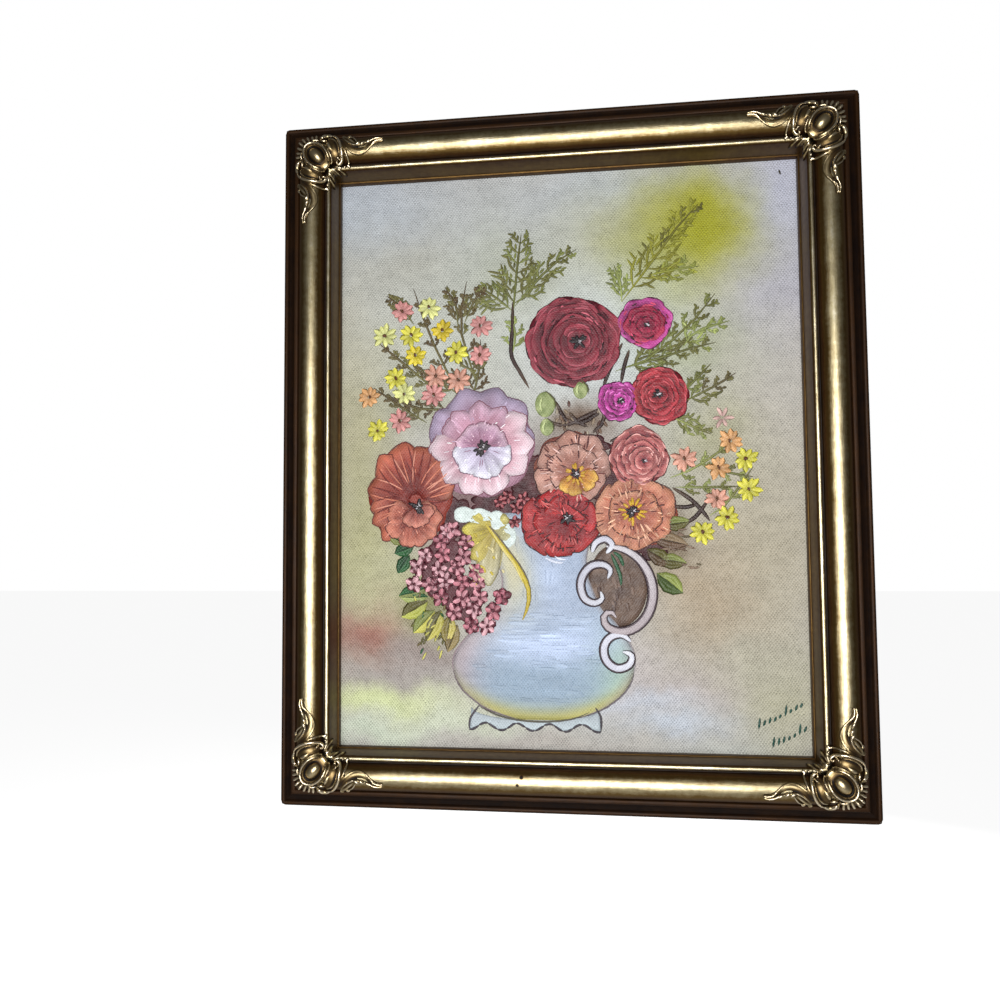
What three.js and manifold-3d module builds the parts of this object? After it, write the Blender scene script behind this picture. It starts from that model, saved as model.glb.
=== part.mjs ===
// A small oil painting on a canvas panel, in a mitred gilt moulding with cast corner ornaments.
// Units are millimetres. +X runs to the right as the picture is looked at, +Y runs into the wall
// and +Z is up. The origin lies on the back face of the top rail, at mid-width, where the frame
// meets the wall.
//
// A moulding section is written as points [d, h]: d is measured outward from the sight edge (the
// edge of the visible painting) and h is measured from the painted surface towards the viewer.

import * as THREE from "three";
import { mergeVertices } from "three/addons/utils/BufferGeometryUtils.js";
import Module from "manifold-3d";

const wasm = await Module();
wasm.setup();

// ---- driving dimensions ----

const PANEL_WIDTH = 203.2; // an 8 x 10 inch canvas panel
const PANEL_HEIGHT = 254.0;
const PANEL_THICKNESS = 3.0;
const LIP_OVERLAP = 3.2; // how far the lip covers the panel's edge
const GAP = 0.3; // clearance kept between neighbouring pieces

const RAIL_WIDTH = 23.4;
const RABBET_DEPTH = 9.0; // from the painted surface to the back of the frame

const LIP_HEIGHT = 3.0;
const WALL_FOOT = 0.5; // d where the tall inner wall starts, behind the lip
const WALL_TOP = [0.85, 12.6];
const BEAD_CENTRE = [2.1, 12.5];
const BEAD_RADIUS = 1.2;
const TORUS_START = 3.6;
const TORUS_CENTRE = [9.3, 11.7];
const TORUS_RADIUS = 5.8;
const FILLET_INNER = 15.7;
const FILLET_OUTER = 17.4;
const FILLET_HEIGHT = 12.9;
const EDGE_CENTRE = [22.3, 8.3]; // the small rounded bead that runs round the outer edge
const EDGE_RADIUS = 1.1;

const BACK_INNER = LIP_OVERLAP + 0.4; // d of the rabbet's wall, a little clear of the panel
const HANG_DISTANCE = 18.3; // d of the origin, on the flat above the hanger's recess

const MITRE_SINK = (GAP / 2) * Math.SQRT2;
const SIGHT_WIDTH = PANEL_WIDTH - 2 * LIP_OVERLAP;
const SIGHT_HEIGHT = PANEL_HEIGHT - 2 * LIP_OVERLAP;
const SIGHT_CENTRE_Z = -HANG_DISTANCE - SIGHT_HEIGHT / 2;
const OUTER_HALF_WIDTH = SIGHT_WIDTH / 2 + RAIL_WIDTH;
const OUTER_HALF_HEIGHT = SIGHT_HEIGHT / 2 + RAIL_WIDTH;

const HANGER_LENGTH = 44;
const HANGER_HEIGHT = 6.4;
const HANGER_SHEET = 0.9;
const HANGER_TEETH = 9;
const TOOTH_DEPTH = 1.5;
const RECESS_DEPTH = 3.0;
const RECESS_MARGIN = 0.9;
const NAIL_SPACING = 36;
const NAIL_RADIUS = 0.7;
const NAIL_LENGTH = 6;
const NAIL_HEAD_RADIUS = 1.5;
const NAIL_HEAD_HEIGHT = 0.6;

const POINT_LENGTH = 15;
const POINT_WIDTH = 9;
const POINT_SHEET = 0.6;
const POINT_EMBEDDED = 5; // the length driven into the rabbet's wall

// ---- finishes ----

const GILT = { color: 0x8a7447, roughness: 0.34, metalness: 0.9 };
const GILT_CAST = { color: 0xa08a5c, roughness: 0.28, metalness: 0.9 };
const CANVAS = { color: 0xc9c6b4, roughness: 0.75, metalness: 0.0 };
const STEEL = { color: 0x9a9a98, roughness: 0.4, metalness: 1.0 };

function meshOf(name, geometry, finish) {
  const mesh = new THREE.Mesh(geometry, new THREE.MeshStandardMaterial(finish));
  mesh.name = name;
  return mesh;
}

// ---- solids: joining and cutting ----

function toSolid(geometry) {
  const bare = geometry.index ? geometry.toNonIndexed() : geometry.clone();
  bare.deleteAttribute("normal");
  bare.deleteAttribute("uv");
  const merged = mergeVertices(bare, 1e-4);
  const triVerts = [];
  for (let i = 0; i < merged.index.count; i += 3) {
    const [a, b, c] = [0, 1, 2].map((k) => merged.index.getX(i + k));
    if (a !== b && b !== c && c !== a) triVerts.push(a, b, c);
  }
  return new wasm.Manifold(
    new wasm.Mesh({
      numProp: 3,
      vertProperties: new Float32Array(merged.attributes.position.array),
      triVerts: new Uint32Array(triVerts),
    }),
  );
}

function toGeometry(solid) {
  const { vertProperties, triVerts, numProp } = solid.getMesh();
  const positions = [];
  for (const vertex of triVerts) {
    for (let k = 0; k < 3; k++) positions.push(vertProperties[vertex * numProp + k]);
  }
  const geometry = new THREE.BufferGeometry();
  geometry.setAttribute("position", new THREE.Float32BufferAttribute(positions, 3));
  return geometry;
}

// The same triangles wound the other way, for a geometry that a change of space has mirrored.
function flipped(geometry) {
  const turned = geometry.clone();
  const order = turned.index
    ? Array.from(turned.index.array)
    : Array.from({ length: turned.attributes.position.count }, (_, i) => i);
  for (let i = 0; i < order.length; i += 3) [order[i], order[i + 2]] = [order[i + 2], order[i]];
  turned.setIndex(order);
  return turned;
}

function outwardSolid(geometry) {
  const solid = toSolid(geometry);
  return solid.volume() > 0 ? solid : toSolid(flipped(geometry));
}

const joined = (solids) => solids.reduce((all, solid) => all.add(solid));

// ---- moulding section ----

// Points on an arc about a centre, from one angle to another, both in degrees.
function arcPoints([cx, cy], radius, from, to, steps) {
  return Array.from({ length: steps + 1 }, (_, i) => {
    const a = THREE.MathUtils.degToRad(from + ((to - from) * i) / steps);
    return [cx + radius * Math.cos(a), cy + radius * Math.sin(a)];
  });
}

// The shown face of the moulding, from the sight edge to the outer edge.
function faceProfile() {
  const degrees = THREE.MathUtils.radToDeg;
  const torusIn = degrees(Math.acos((TORUS_START - TORUS_CENTRE[0]) / TORUS_RADIUS));
  const torusOut = degrees(Math.acos((FILLET_INNER - 0.6 - TORUS_CENTRE[0]) / TORUS_RADIUS));
  const coveFloor = EDGE_CENTRE[1] + 0.1;
  return [
    [0, GAP],
    [0, LIP_HEIGHT - 0.35],
    [0.2, LIP_HEIGHT],
    [WALL_FOOT, LIP_HEIGHT + 0.1],
    [WALL_FOOT + 0.05, LIP_HEIGHT + 4],
    WALL_TOP,
    ...arcPoints(BEAD_CENTRE, BEAD_RADIUS, 172, 14, 6),
    ...arcPoints(TORUS_CENTRE, TORUS_RADIUS, torusIn, torusOut, 14),
    [FILLET_INNER - 0.45, FILLET_HEIGHT - 0.9],
    [FILLET_INNER, FILLET_HEIGHT - 0.2],
    [FILLET_INNER + 0.4, FILLET_HEIGHT],
    [FILLET_OUTER - 0.3, FILLET_HEIGHT],
    [FILLET_OUTER, FILLET_HEIGHT - 0.3],
    [FILLET_OUTER + 0.2, FILLET_HEIGHT - 1.4],
    [FILLET_OUTER + 1.0, FILLET_HEIGHT - 2.9],
    [FILLET_OUTER + 2.2, coveFloor + 0.5],
    [EDGE_CENTRE[0] - EDGE_RADIUS - 0.2, coveFloor],
    ...arcPoints(EDGE_CENTRE, EDGE_RADIUS, 150, 0, 5),
  ];
}

const FACE = faceProfile();

function faceHeight(d) {
  for (let i = 1; i < FACE.length; i++) {
    const [[d0, h0], [d1, h1]] = [FACE[i - 1], FACE[i]];
    if (d1 > d0 && d >= d0 && d <= d1) return h0 + ((h1 - h0) * (d - d0)) / (d1 - d0);
  }
  return d < 0 ? LIP_HEIGHT : EDGE_CENTRE[1];
}

function railOutline() {
  return [
    ...FACE,
    [RAIL_WIDTH, -RABBET_DEPTH],
    [BACK_INNER, -RABBET_DEPTH],
    [BACK_INNER, GAP],
  ];
}

function sectionPrism(outline, length) {
  const shape = new THREE.Shape(outline.map(([d, h]) => new THREE.Vector2(d, h)));
  return new THREE.ExtrudeGeometry(shape, { depth: length, bevelEnabled: false, steps: 1 });
}

// The section extruded along its third axis, with both ends running out at 45 degrees as d
// grows, and set back by the mitre's share of the gap.
function mitredPrism(outline, length) {
  const prism = sectionPrism(outline, length);
  const p = prism.attributes.position;
  for (let i = 0; i < p.count; i++) {
    const side = p.getZ(i) > length / 2 ? 1 : -1;
    p.setZ(i, side * (length / 2 + p.getX(i) - MITRE_SINK));
  }
  return prism;
}

// ---- rails ----

// Turns section space (d, h, along) into a top rail's space: d up, h towards the viewer.
const SECTION_TO_TOP = new THREE.Matrix4().makeBasis(
  new THREE.Vector3(0, 0, 1),
  new THREE.Vector3(0, -1, 0),
  new THREE.Vector3(1, 0, 0),
);

const PLATE_MIDDLE = BACK_INNER + 1.4 + RECESS_MARGIN + HANGER_HEIGHT / 2;
const NAIL_SIDES = 8;
const BORE_RADIUS = NAIL_RADIUS + GAP;

function box(sizeX, sizeY, sizeZ, x, y, z) {
  return new THREE.BoxGeometry(sizeX, sizeY, sizeZ).translate(x, y, z);
}

function rod(radius, length, x, y, z) {
  return new THREE.CylinderGeometry(radius, radius, length, NAIL_SIDES).translate(x, y, z);
}

// A retainer point's outline lies in the plane of the panel: x along the rail, z outward.
function pointOutline(grow) {
  const half = POINT_WIDTH / 2 + grow;
  const tip = BACK_INNER + POINT_EMBEDDED + grow;
  const tail = BACK_INNER + POINT_EMBEDDED - POINT_LENGTH;
  const shape = new THREE.Shape();
  shape.moveTo(-half * 0.45, tail);
  shape.lineTo(half * 0.45, tail);
  shape.lineTo(half, tail + 4);
  shape.lineTo(half, tip - 3);
  shape.lineTo(0, tip);
  shape.lineTo(-half, tip - 3);
  shape.lineTo(-half, tail + 4);
  shape.closePath();
  return shape;
}

const POINT_H = -PANEL_THICKNESS - GAP - POINT_SHEET / 2;

function pointGeometry(offset, grow) {
  const sheet = POINT_SHEET + 2 * grow;
  const slab = new THREE.ExtrudeGeometry(pointOutline(grow), { depth: sheet, bevelEnabled: false });
  slab.translate(0, 0, -sheet / 2);
  slab.rotateX(Math.PI / 2);
  return slab.translate(offset, -POINT_H, 0);
}

function railSolid(length, pointOffsets) {
  const prism = mitredPrism(railOutline(), length);
  const cutters = pointOffsets.map((offset) => toSolid(pointGeometry(offset, GAP)));
  return toSolid(prism.applyMatrix4(SECTION_TO_TOP)).subtract(joined(cutters));
}

function hangerCutter() {
  const recess = box(
    HANGER_LENGTH + 2 * RECESS_MARGIN,
    RECESS_DEPTH * 2,
    HANGER_HEIGHT + 2 * RECESS_MARGIN,
    0,
    RABBET_DEPTH,
    PLATE_MIDDLE,
  );
  const floor = RABBET_DEPTH - RECESS_DEPTH;
  const bores = [-1, 1].map((side) =>
    rod(BORE_RADIUS, 2 * (NAIL_LENGTH + GAP), (side * NAIL_SPACING) / 2, floor, PLATE_MIDDLE),
  );
  return joined([recess, ...bores].map(toSolid));
}

// Each side: its name, its quarter turns about +Y, the length of its sight edge, how far that
// edge lies from the middle of the picture, and its retainer points' distance from its middle.
const SIDES = [
  { name: "top", turn: 0, length: SIGHT_WIDTH, reach: SIGHT_HEIGHT / 2, points: 58 },
  { name: "right", turn: 1, length: SIGHT_HEIGHT, reach: SIGHT_WIDTH / 2, points: 78 },
  { name: "bottom", turn: 2, length: SIGHT_WIDTH, reach: SIGHT_HEIGHT / 2, points: 58 },
  { name: "left", turn: 3, length: SIGHT_HEIGHT, reach: SIGHT_WIDTH / 2, points: 78 },
];

// A side's group turns about +Y and moves out to the sight edge, so a piece drawn for the top
// rail, with z measured outward from the sight edge, falls in place on any side.
function sideGroup(side) {
  const turning = new THREE.Group();
  turning.rotation.y = (side.turn * Math.PI) / 2;
  const outward = new THREE.Group();
  outward.position.z = side.reach;
  turning.add(outward);
  return { turning, outward };
}

function buildSide(side) {
  const { turning, outward } = sideGroup(side);
  const offsets = [-side.points, side.points];
  let rail = railSolid(side.length, offsets);
  if (side.name === "top") rail = rail.subtract(hangerCutter());
  outward.add(meshOf(`rail_${side.name}`, toGeometry(rail), GILT));
  offsets.forEach((offset, i) => {
    outward.add(meshOf(`point_${side.name}_${i + 1}`, pointGeometry(offset, 0), STEEL));
  });
  if (side.name === "top") outward.add(...hangerMeshes());
  return turning;
}

// ---- hanger ----

// The plate's outline, seen from behind: holes at both ends and a saw edge between them.
function plateOutline() {
  const half = HANGER_LENGTH / 2;
  const top = HANGER_HEIGHT / 2;
  const sawHalf = half - 9;
  const shape = new THREE.Shape();
  shape.moveTo(-half, -top);
  shape.lineTo(-sawHalf, -top);
  const pitch = (2 * sawHalf) / HANGER_TEETH;
  for (let i = 0; i < HANGER_TEETH; i++) {
    const start = -sawHalf + i * pitch;
    shape.lineTo(start + pitch / 2, -top + TOOTH_DEPTH);
    shape.lineTo(start + pitch, -top);
  }
  shape.lineTo(half, -top);
  shape.lineTo(half, top);
  shape.lineTo(-half, top);
  shape.closePath();
  for (const side of [-1, 1]) {
    const hole = new THREE.Path();
    hole.absarc((side * NAIL_SPACING) / 2, 0, BORE_RADIUS, 0, 2 * Math.PI, true);
    shape.holes.push(hole);
  }
  return shape;
}

// The plate's bend, seen from above: both ends lie on the recess floor and the middle stands off.
function plateBend() {
  const half = HANGER_LENGTH / 2 + 1;
  const low = RECESS_DEPTH - GAP;
  const high = GAP + HANGER_SHEET;
  const [flat, rise] = [half - 9, half - 11];
  const inner = [[-half, low], [-flat, low], [-rise, high], [rise, high], [flat, low], [half, low]];
  const outer = inner.map(([x, depth]) => [x, depth - HANGER_SHEET]).reverse();
  return new THREE.Shape([...inner, ...outer].map(([x, depth]) => new THREE.Vector2(x, depth)));
}

function hangerMeshes() {
  const flat = new THREE.ExtrudeGeometry(plateOutline(), {
    depth: 2 * RECESS_DEPTH,
    bevelEnabled: false,
    curveSegments: 6,
  });
  flat.rotateX(Math.PI / 2);
  flat.translate(0, RABBET_DEPTH + RECESS_DEPTH, PLATE_MIDDLE);
  const bend = new THREE.ExtrudeGeometry(plateBend(), {
    depth: 2 * HANGER_HEIGHT,
    bevelEnabled: false,
  });
  bend.scale(1, -1, 1);
  bend.translate(0, RABBET_DEPTH, PLATE_MIDDLE - HANGER_HEIGHT);
  const plate = toSolid(flat).intersect(outwardSolid(bend));
  const meshes = [meshOf("hanger_plate", toGeometry(plate), STEEL)];
  const plateTop = RABBET_DEPTH - RECESS_DEPTH + GAP + HANGER_SHEET;
  for (const [side, label] of [[-1, "left"], [1, "right"]]) {
    const x = (side * NAIL_SPACING) / 2;
    const headFoot = plateTop + GAP / 2;
    const headTop = headFoot + NAIL_HEAD_HEIGHT;
    const head = rod(NAIL_HEAD_RADIUS, NAIL_HEAD_HEIGHT, x, (headFoot + headTop) / 2, PLATE_MIDDLE);
    const shankTop = (headFoot + headTop) / 2;
    const shank = rod(NAIL_RADIUS, NAIL_LENGTH, x, shankTop - NAIL_LENGTH / 2, PLATE_MIDDLE);
    meshes.push(meshOf(`hanger_nail_${label}`, toGeometry(toSolid(head).add(toSolid(shank))), STEEL));
  }
  return meshes;
}

// ---- corner ornament ----

// The ornament is drawn in corner space: u and v run along the two rails from the outer corner,
// and h towards the viewer. Every form in it is a sphere drawn out along a path on the moulding.

const CAB_CENTRE = [17.5, 17.5];
const CAB_TILT = 48;
const CAB_HALF = [5.0, 3.5];
const RING_HALF = [6.9, 5.2];
const CLUSTER_LEVEL = 16.8; // the mean height of the moulding under the cluster
const BED_HEIGHT = 17.2;
const BED_RISE = 1.5;
const FINGER_ANGLES = [-51, -36.5, -22, -7.5, 7.5, 22, 36.5, 51];
const SCROLL_CENTRE = [24.2, 15.2];
const SCROLL_HALF = [5.3, 6.6];
const SCROLL_EYE = [26.2, 20.2];
const EYE_RADIUS = 1.3;
const SEAT_LENGTH = 60;

const seatHeight = (u, v) => faceHeight(RAIL_WIDTH - Math.min(u, v));

function onSeat([u, v], rise) {
  return new THREE.Vector3(u, v, seatHeight(u, v) + rise);
}

function ovalPoint([cu, cv], [a, b], tilt, angle) {
  const [t, s] = [THREE.MathUtils.degToRad(angle), THREE.MathUtils.degToRad(tilt)];
  const [x, y] = [a * Math.cos(t), b * Math.sin(t)];
  return [cu + x * Math.cos(s) - y * Math.sin(s), cv + x * Math.sin(s) + y * Math.cos(s)];
}

// A sphere whose rings of latitude are strung along a curve. halfWidth and halfHeight give the
// section at t, from 0 to 1, and up is the direction of relief.
function stroke(points, halfWidth, halfHeight, { sides = 6, steps = 8, up = [0, 0, 1] } = {}) {
  const curve = new THREE.CatmullRomCurve3(points);
  const relief = new THREE.Vector3(...up);
  const body = new THREE.SphereGeometry(1, sides, steps);
  const p = body.attributes.position;
  for (let i = 0; i < p.count; i++) {
    const t = Math.acos(THREE.MathUtils.clamp(p.getY(i), -1, 1)) / Math.PI;
    const ring = Math.hypot(p.getX(i), p.getZ(i));
    const [side, rise] = ring > 1e-6 ? [p.getX(i) / ring, p.getZ(i) / ring] : [0, 0];
    const across = new THREE.Vector3().crossVectors(relief, curve.getTangent(t)).normalize();
    const spot = curve.getPoint(t);
    spot.addScaledVector(across, side * halfWidth(t));
    spot.addScaledVector(relief, rise * halfHeight(t));
    p.setXYZ(i, spot.x, spot.y, spot.z);
  }
  return outwardSolid(body);
}

// Section sizes: full in the middle and falling to nothing at both ends, or drawn to a tail.
const rounded = (size) => (t) => size * Math.pow(Math.sin(Math.PI * t), 0.55);
const tailed = (size) => (t) => size * Math.pow(Math.sin(Math.PI * t), 0.5) * (1 - 0.72 * t);

function dome(centre, half, tilt, rise, height) {
  const [a, b] = half;
  const body = new THREE.SphereGeometry(1, 12, 7).rotateX(Math.PI / 2).scale(a, b, height);
  body.rotateZ(THREE.MathUtils.degToRad(tilt));
  const seat = onSeat(centre, rise);
  return toSolid(body.translate(seat.x, seat.y, seat.z));
}

// The cast bed between the cabochon and its ring, high enough to cover the mitre's crest.
function bed() {
  const disc = new THREE.SphereGeometry(1, 10, 4).rotateX(Math.PI / 2);
  disc.scale(RING_HALF[0], RING_HALF[1], BED_RISE).rotateZ(THREE.MathUtils.degToRad(CAB_TILT));
  return toSolid(disc.translate(CAB_CENTRE[0], CAB_CENTRE[1], BED_HEIGHT));
}

function cabochonRing() {
  const ring = new THREE.TorusGeometry(1, 0.13, 4, 16);
  const p = ring.attributes.position;
  for (let i = 0; i < p.count; i++) {
    const around = THREE.MathUtils.radToDeg(Math.atan2(p.getY(i), p.getX(i)));
    const out = 5.5 * (Math.hypot(p.getX(i), p.getY(i)) - 1);
    const spot = ovalPoint(CAB_CENTRE, [RING_HALF[0] + out, RING_HALF[1] + out], CAB_TILT, around);
    p.setXYZ(i, spot[0], spot[1], ringHeight(spot) + 6 * p.getZ(i));
  }
  return toSolid(ring);
}

// The ring bridges the hollows of the moulding, so its height is a blend of seat and mean level.
const ringHeight = ([u, v]) => (seatHeight(u, v) + CLUSTER_LEVEL) / 2 + 1.2;

function fingers() {
  return FINGER_ANGLES.map((offAxis) => {
    const a = THREE.MathUtils.degToRad(225 + offAxis);
    const fromAxis = a - THREE.MathUtils.degToRad(CAB_TILT);
    const root = 1 / Math.hypot(Math.cos(fromAxis) / RING_HALF[0], Math.sin(fromAxis) / RING_HALF[1]);
    const reach = 10.7 - 0.012 * Math.abs(offAxis);
    const at = (r) => [CAB_CENTRE[0] + r * Math.cos(a), CAB_CENTRE[1] + r * Math.sin(a)];
    const points = [root - 0.9, (root + reach) / 2, reach].map((r) => onSeat(at(r), 0));
    points[0].z = ringHeight(at(root)) - 0.7;
    points[1].z = Math.max(points[1].z, FILLET_HEIGHT) + 0.9;
    points[2].z = Math.max(points[2].z, FILLET_HEIGHT - 0.8);
    return stroke(points, rounded(0.85), rounded(1.1), { sides: 4, steps: 3 });
  });
}

// Draws one arm of the ornament on the u side; the other arm swaps u and v.
function arm(swap) {
  const lay = ([u, v], rise) => (swap ? onSeat([v, u], rise) : onSeat([u, v], rise));
  const rimPoint = (angle) => ovalPoint(SCROLL_CENTRE, SCROLL_HALF, -8, angle);
  const rimAngles = Array.from({ length: 11 }, (_, i) => -128 + (188 * i) / 10);
  const rim = rimAngles.map((angle) => {
    const spot = lay(rimPoint(angle), 0);
    spot.z = (spot.z + CLUSTER_LEVEL) / 2 + 0.4;
    return spot;
  });
  const eye = lay(SCROLL_EYE, 1.0);
  const lobe = [[22.8, 9.6], [24.9, 14.4], [26.4, 20.6]].map((spot) => lay(spot, 0.2));
  const spray = [
    [28.2, 10.4],
    [30.4, 13.2],
    [33.0, 15.3],
    [36.0, 16.2],
    [39.2, 15.6],
    [41.6, 14.0],
    [44.2, 13.1],
    [47.2, 13.5],
  ].map((spot) => lay(spot, 0.5));
  const leaf = [[28.0, 9.6], [30.6, 10.7], [33.2, 12.6], [36.4, 15.4]].map((spot) => lay(spot, 0.4));
  const bead = new THREE.SphereGeometry(EYE_RADIUS, 6, 4).rotateX(Math.PI / 2);
  return [
    stroke(rim, tailed(1.2), tailed(1.3), { sides: 4, steps: 10 }),
    toSolid(bead.translate(eye.x, eye.y, eye.z)),
    stroke(lobe, rounded(4.4), rounded(1.6), { sides: 8, steps: 4 }),
    stroke(spray, tailed(2.3), tailed(1.6), { sides: 4, steps: 8 }),
    stroke(leaf, tailed(1.6), tailed(1.3), { sides: 4, steps: 4 }),
  ];
}

// Three ribs fan over the bead at the sight corner, the middle one down the mitre.
function palmette() {
  const rib = [[22.2, 20.6], [24.4, 21.7], [27.6, 21.6]];
  const flanks = [false, true].map((swap) => {
    const points = rib.map(([u, v]) => onSeat(swap ? [v, u] : [u, v], 0.6));
    return stroke(points, rounded(1.0), rounded(1.1), { sides: 4, steps: 4 });
  });
  const middle = [[21.2, 15.0], [22.5, 14.4], [23.3, 11.5], [23.5, 7.2]];
  const points = middle.map(([along, h]) => new THREE.Vector3(along, along, h));
  const up = [Math.SQRT1_2, Math.SQRT1_2, 0.35];
  return [...flanks, stroke(points, rounded(1.5), rounded(1.0), { sides: 4, up, steps: 5 })];
}

// The space the moulding takes up at a corner, grown by the gap, so that the ornament's
// underside is its seat. Arcs have few chords here, pushed outside the true curve.
function seatSolid() {
  const grown = (radius, step) => (radius + GAP) / Math.cos(THREE.MathUtils.degToRad(step / 2));
  const outline = [
    [-GAP, -1],
    [-GAP, LIP_HEIGHT + GAP],
    [WALL_FOOT - GAP, LIP_HEIGHT + 2 * GAP],
    ...arcPoints(BEAD_CENTRE, grown(BEAD_RADIUS, 56), 178, 66, 2),
    [3.4, 13.5],
    ...arcPoints(TORUS_CENTRE, grown(TORUS_RADIUS, 30), 150, 30, 4),
    [FILLET_INNER, FILLET_HEIGHT + GAP],
    [FILLET_OUTER + GAP, FILLET_HEIGHT + GAP],
    [FILLET_OUTER + 1.2, FILLET_HEIGHT - 2.3],
    [EDGE_CENTRE[0] - EDGE_RADIUS, EDGE_CENTRE[1] + EDGE_RADIUS + GAP],
    [RAIL_WIDTH + GAP, EDGE_CENTRE[1] + EDGE_RADIUS + GAP],
    [RAIL_WIDTH + GAP, -1],
  ];
  // Each arm runs along its rail from the mitre, where u and v are both RAIL_WIDTH - d.
  const arms = [false, true].map((swap) => {
    const prism = sectionPrism(outline, SEAT_LENGTH);
    const p = prism.attributes.position;
    for (let i = 0; i < p.count; i++) {
      const across = RAIL_WIDTH - p.getX(i);
      const along = p.getZ(i) > 0 ? SEAT_LENGTH : across;
      p.setXYZ(i, swap ? across : along, swap ? along : across, p.getY(i));
    }
    return outwardSolid(prism);
  });
  return joined(arms);
}

function ornamentSolid() {
  const forms = [
    dome(CAB_CENTRE, CAB_HALF, CAB_TILT, 0.3, 3.6),
    bed(),
    cabochonRing(),
    ...fingers(),
    ...arm(false),
    ...arm(true),
    ...palmette(),
  ];
  return joined(forms).subtract(seatSolid());
}

function cornerMeshes() {
  const design = toGeometry(ornamentSolid());
  const corners = [
    ["corner_top_left", -1, 1],
    ["corner_top_right", 1, 1],
    ["corner_bottom_left", -1, -1],
    ["corner_bottom_right", 1, -1],
  ];
  return corners.map(([name, sideX, sideZ]) => {
    const placed = design.clone();
    const p = placed.attributes.position;
    for (let i = 0; i < p.count; i++) {
      p.setXYZ(i, -sideX * p.getX(i), -p.getZ(i), -sideZ * p.getY(i));
    }
    const mesh = meshOf(name, sideX * sideZ > 0 ? placed : flipped(placed), GILT_CAST);
    mesh.position.set(sideX * OUTER_HALF_WIDTH, 0, sideZ * OUTER_HALF_HEIGHT);
    return mesh;
  });
}

// ---- assembly ----

// Everything is placed about the middle of the painted surface.
const picture = new THREE.Group();
picture.position.set(0, -RABBET_DEPTH, SIGHT_CENTRE_Z);
picture.add(...SIDES.map(buildSide), ...cornerMeshes());
const panel = box(PANEL_WIDTH, PANEL_THICKNESS, PANEL_HEIGHT, 0, PANEL_THICKNESS / 2, 0);
picture.add(meshOf("canvas_panel", panel, CANVAS));

const framedPainting = new THREE.Group();
framedPainting.add(picture);

export default framedPainting;
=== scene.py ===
# %% [markdown]
# A small framed oil painting
#
# The object is a flower piece in oil on an 8 by 10 inch canvas panel. It sits in a gilt wooden
# moulding with a cast leaf ornament on each corner. This lesson dresses a finished CAD model:
# the sizes and places of all the pieces are already settled there, and everything below is
# built around them in the same frame. +X runs to the right, +Y runs into the wall, +Z is up.
#
# The CAD model is loaded first.

# %% Load the CAD model
import math
import random

import bmesh
import bpy
import numpy as np
from mathutils import Matrix, Vector, noise


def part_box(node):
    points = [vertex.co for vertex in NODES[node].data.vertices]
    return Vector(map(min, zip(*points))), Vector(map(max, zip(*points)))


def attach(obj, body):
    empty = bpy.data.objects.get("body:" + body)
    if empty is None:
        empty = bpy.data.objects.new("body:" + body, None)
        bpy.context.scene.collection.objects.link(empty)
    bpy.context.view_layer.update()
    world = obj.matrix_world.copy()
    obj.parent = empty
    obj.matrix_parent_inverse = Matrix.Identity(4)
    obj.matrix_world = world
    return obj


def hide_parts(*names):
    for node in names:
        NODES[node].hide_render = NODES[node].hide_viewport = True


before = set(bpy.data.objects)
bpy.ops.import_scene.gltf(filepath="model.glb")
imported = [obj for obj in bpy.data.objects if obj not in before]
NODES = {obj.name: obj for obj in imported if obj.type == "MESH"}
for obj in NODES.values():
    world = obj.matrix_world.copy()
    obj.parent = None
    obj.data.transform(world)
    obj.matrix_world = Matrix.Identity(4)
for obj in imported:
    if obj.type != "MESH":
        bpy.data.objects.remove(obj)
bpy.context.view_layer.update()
MM = 0.001
print("CAD pieces:", len(NODES))

# %% [markdown]
# Measures that every piece needs
#
# A picture framer thinks of a moulding as one section that is swept round the picture. Each
# point of the section is written as (d, h): d is the distance out from the sight edge, where
# the painting starts to show, and h is the height from the painted surface to the viewer. The
# panel and the rails give the two distances that turn (d, h) into a place in the room.

# %% Read the driving sizes off the CAD pieces
PANEL_LOW, PANEL_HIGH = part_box("canvas_panel")
RAIL_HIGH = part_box("rail_right")[1]
PAINT_Y = PANEL_LOW.y / MM
PANEL_BACK_Y = PANEL_HIGH.y / MM
CENTRE_Z = (PANEL_LOW.z + PANEL_HIGH.z) / 2 / MM
PANEL_HALF_WIDTH = PANEL_HIGH.x / MM
PANEL_HALF_HEIGHT = PANEL_HIGH.z / MM - CENTRE_Z
LIP_OVERLAP = 3.2
SIGHT_HALF_WIDTH = PANEL_HALF_WIDTH - LIP_OVERLAP
SIGHT_HALF_HEIGHT = PANEL_HALF_HEIGHT - LIP_OVERLAP
OUTER_HALF_WIDTH = RAIL_HIGH.x / MM
RAIL_WIDTH = OUTER_HALF_WIDTH - SIGHT_HALF_WIDTH
OUTER_HALF_HEIGHT = SIGHT_HALF_HEIGHT + RAIL_WIDTH
print(f"sight {2 * SIGHT_HALF_WIDTH:.1f} x {2 * SIGHT_HALF_HEIGHT:.1f} mm, rail {RAIL_WIDTH:.1f} mm")

# %% [markdown]
# Small helpers for node trees
#
# Materials and Geometry Nodes are both trees of nodes. Placing a node takes several lines each
# time (make it, set it, wire it), so one helper does it all. A value that is a socket is wired,
# and any other value is set on the socket. A socket knows the tree that it belongs to, so most
# helpers find the tree from what they are given.

# %% Helpers for placing and wiring nodes
SOCKET = bpy.types.NodeSocket
FLOAT = "NodeSocketFloat"
VECTOR = "NodeSocketVector"
COLOUR = "NodeSocketColor"


def wire(node, inputs):
    """Wires the inputs whose values are sockets, and sets the others."""
    for key, value in inputs.items():
        if isinstance(value, SOCKET):
            node.id_data.links.new(value, node.inputs[key])
        else:
            node.inputs[key].default_value = value


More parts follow.
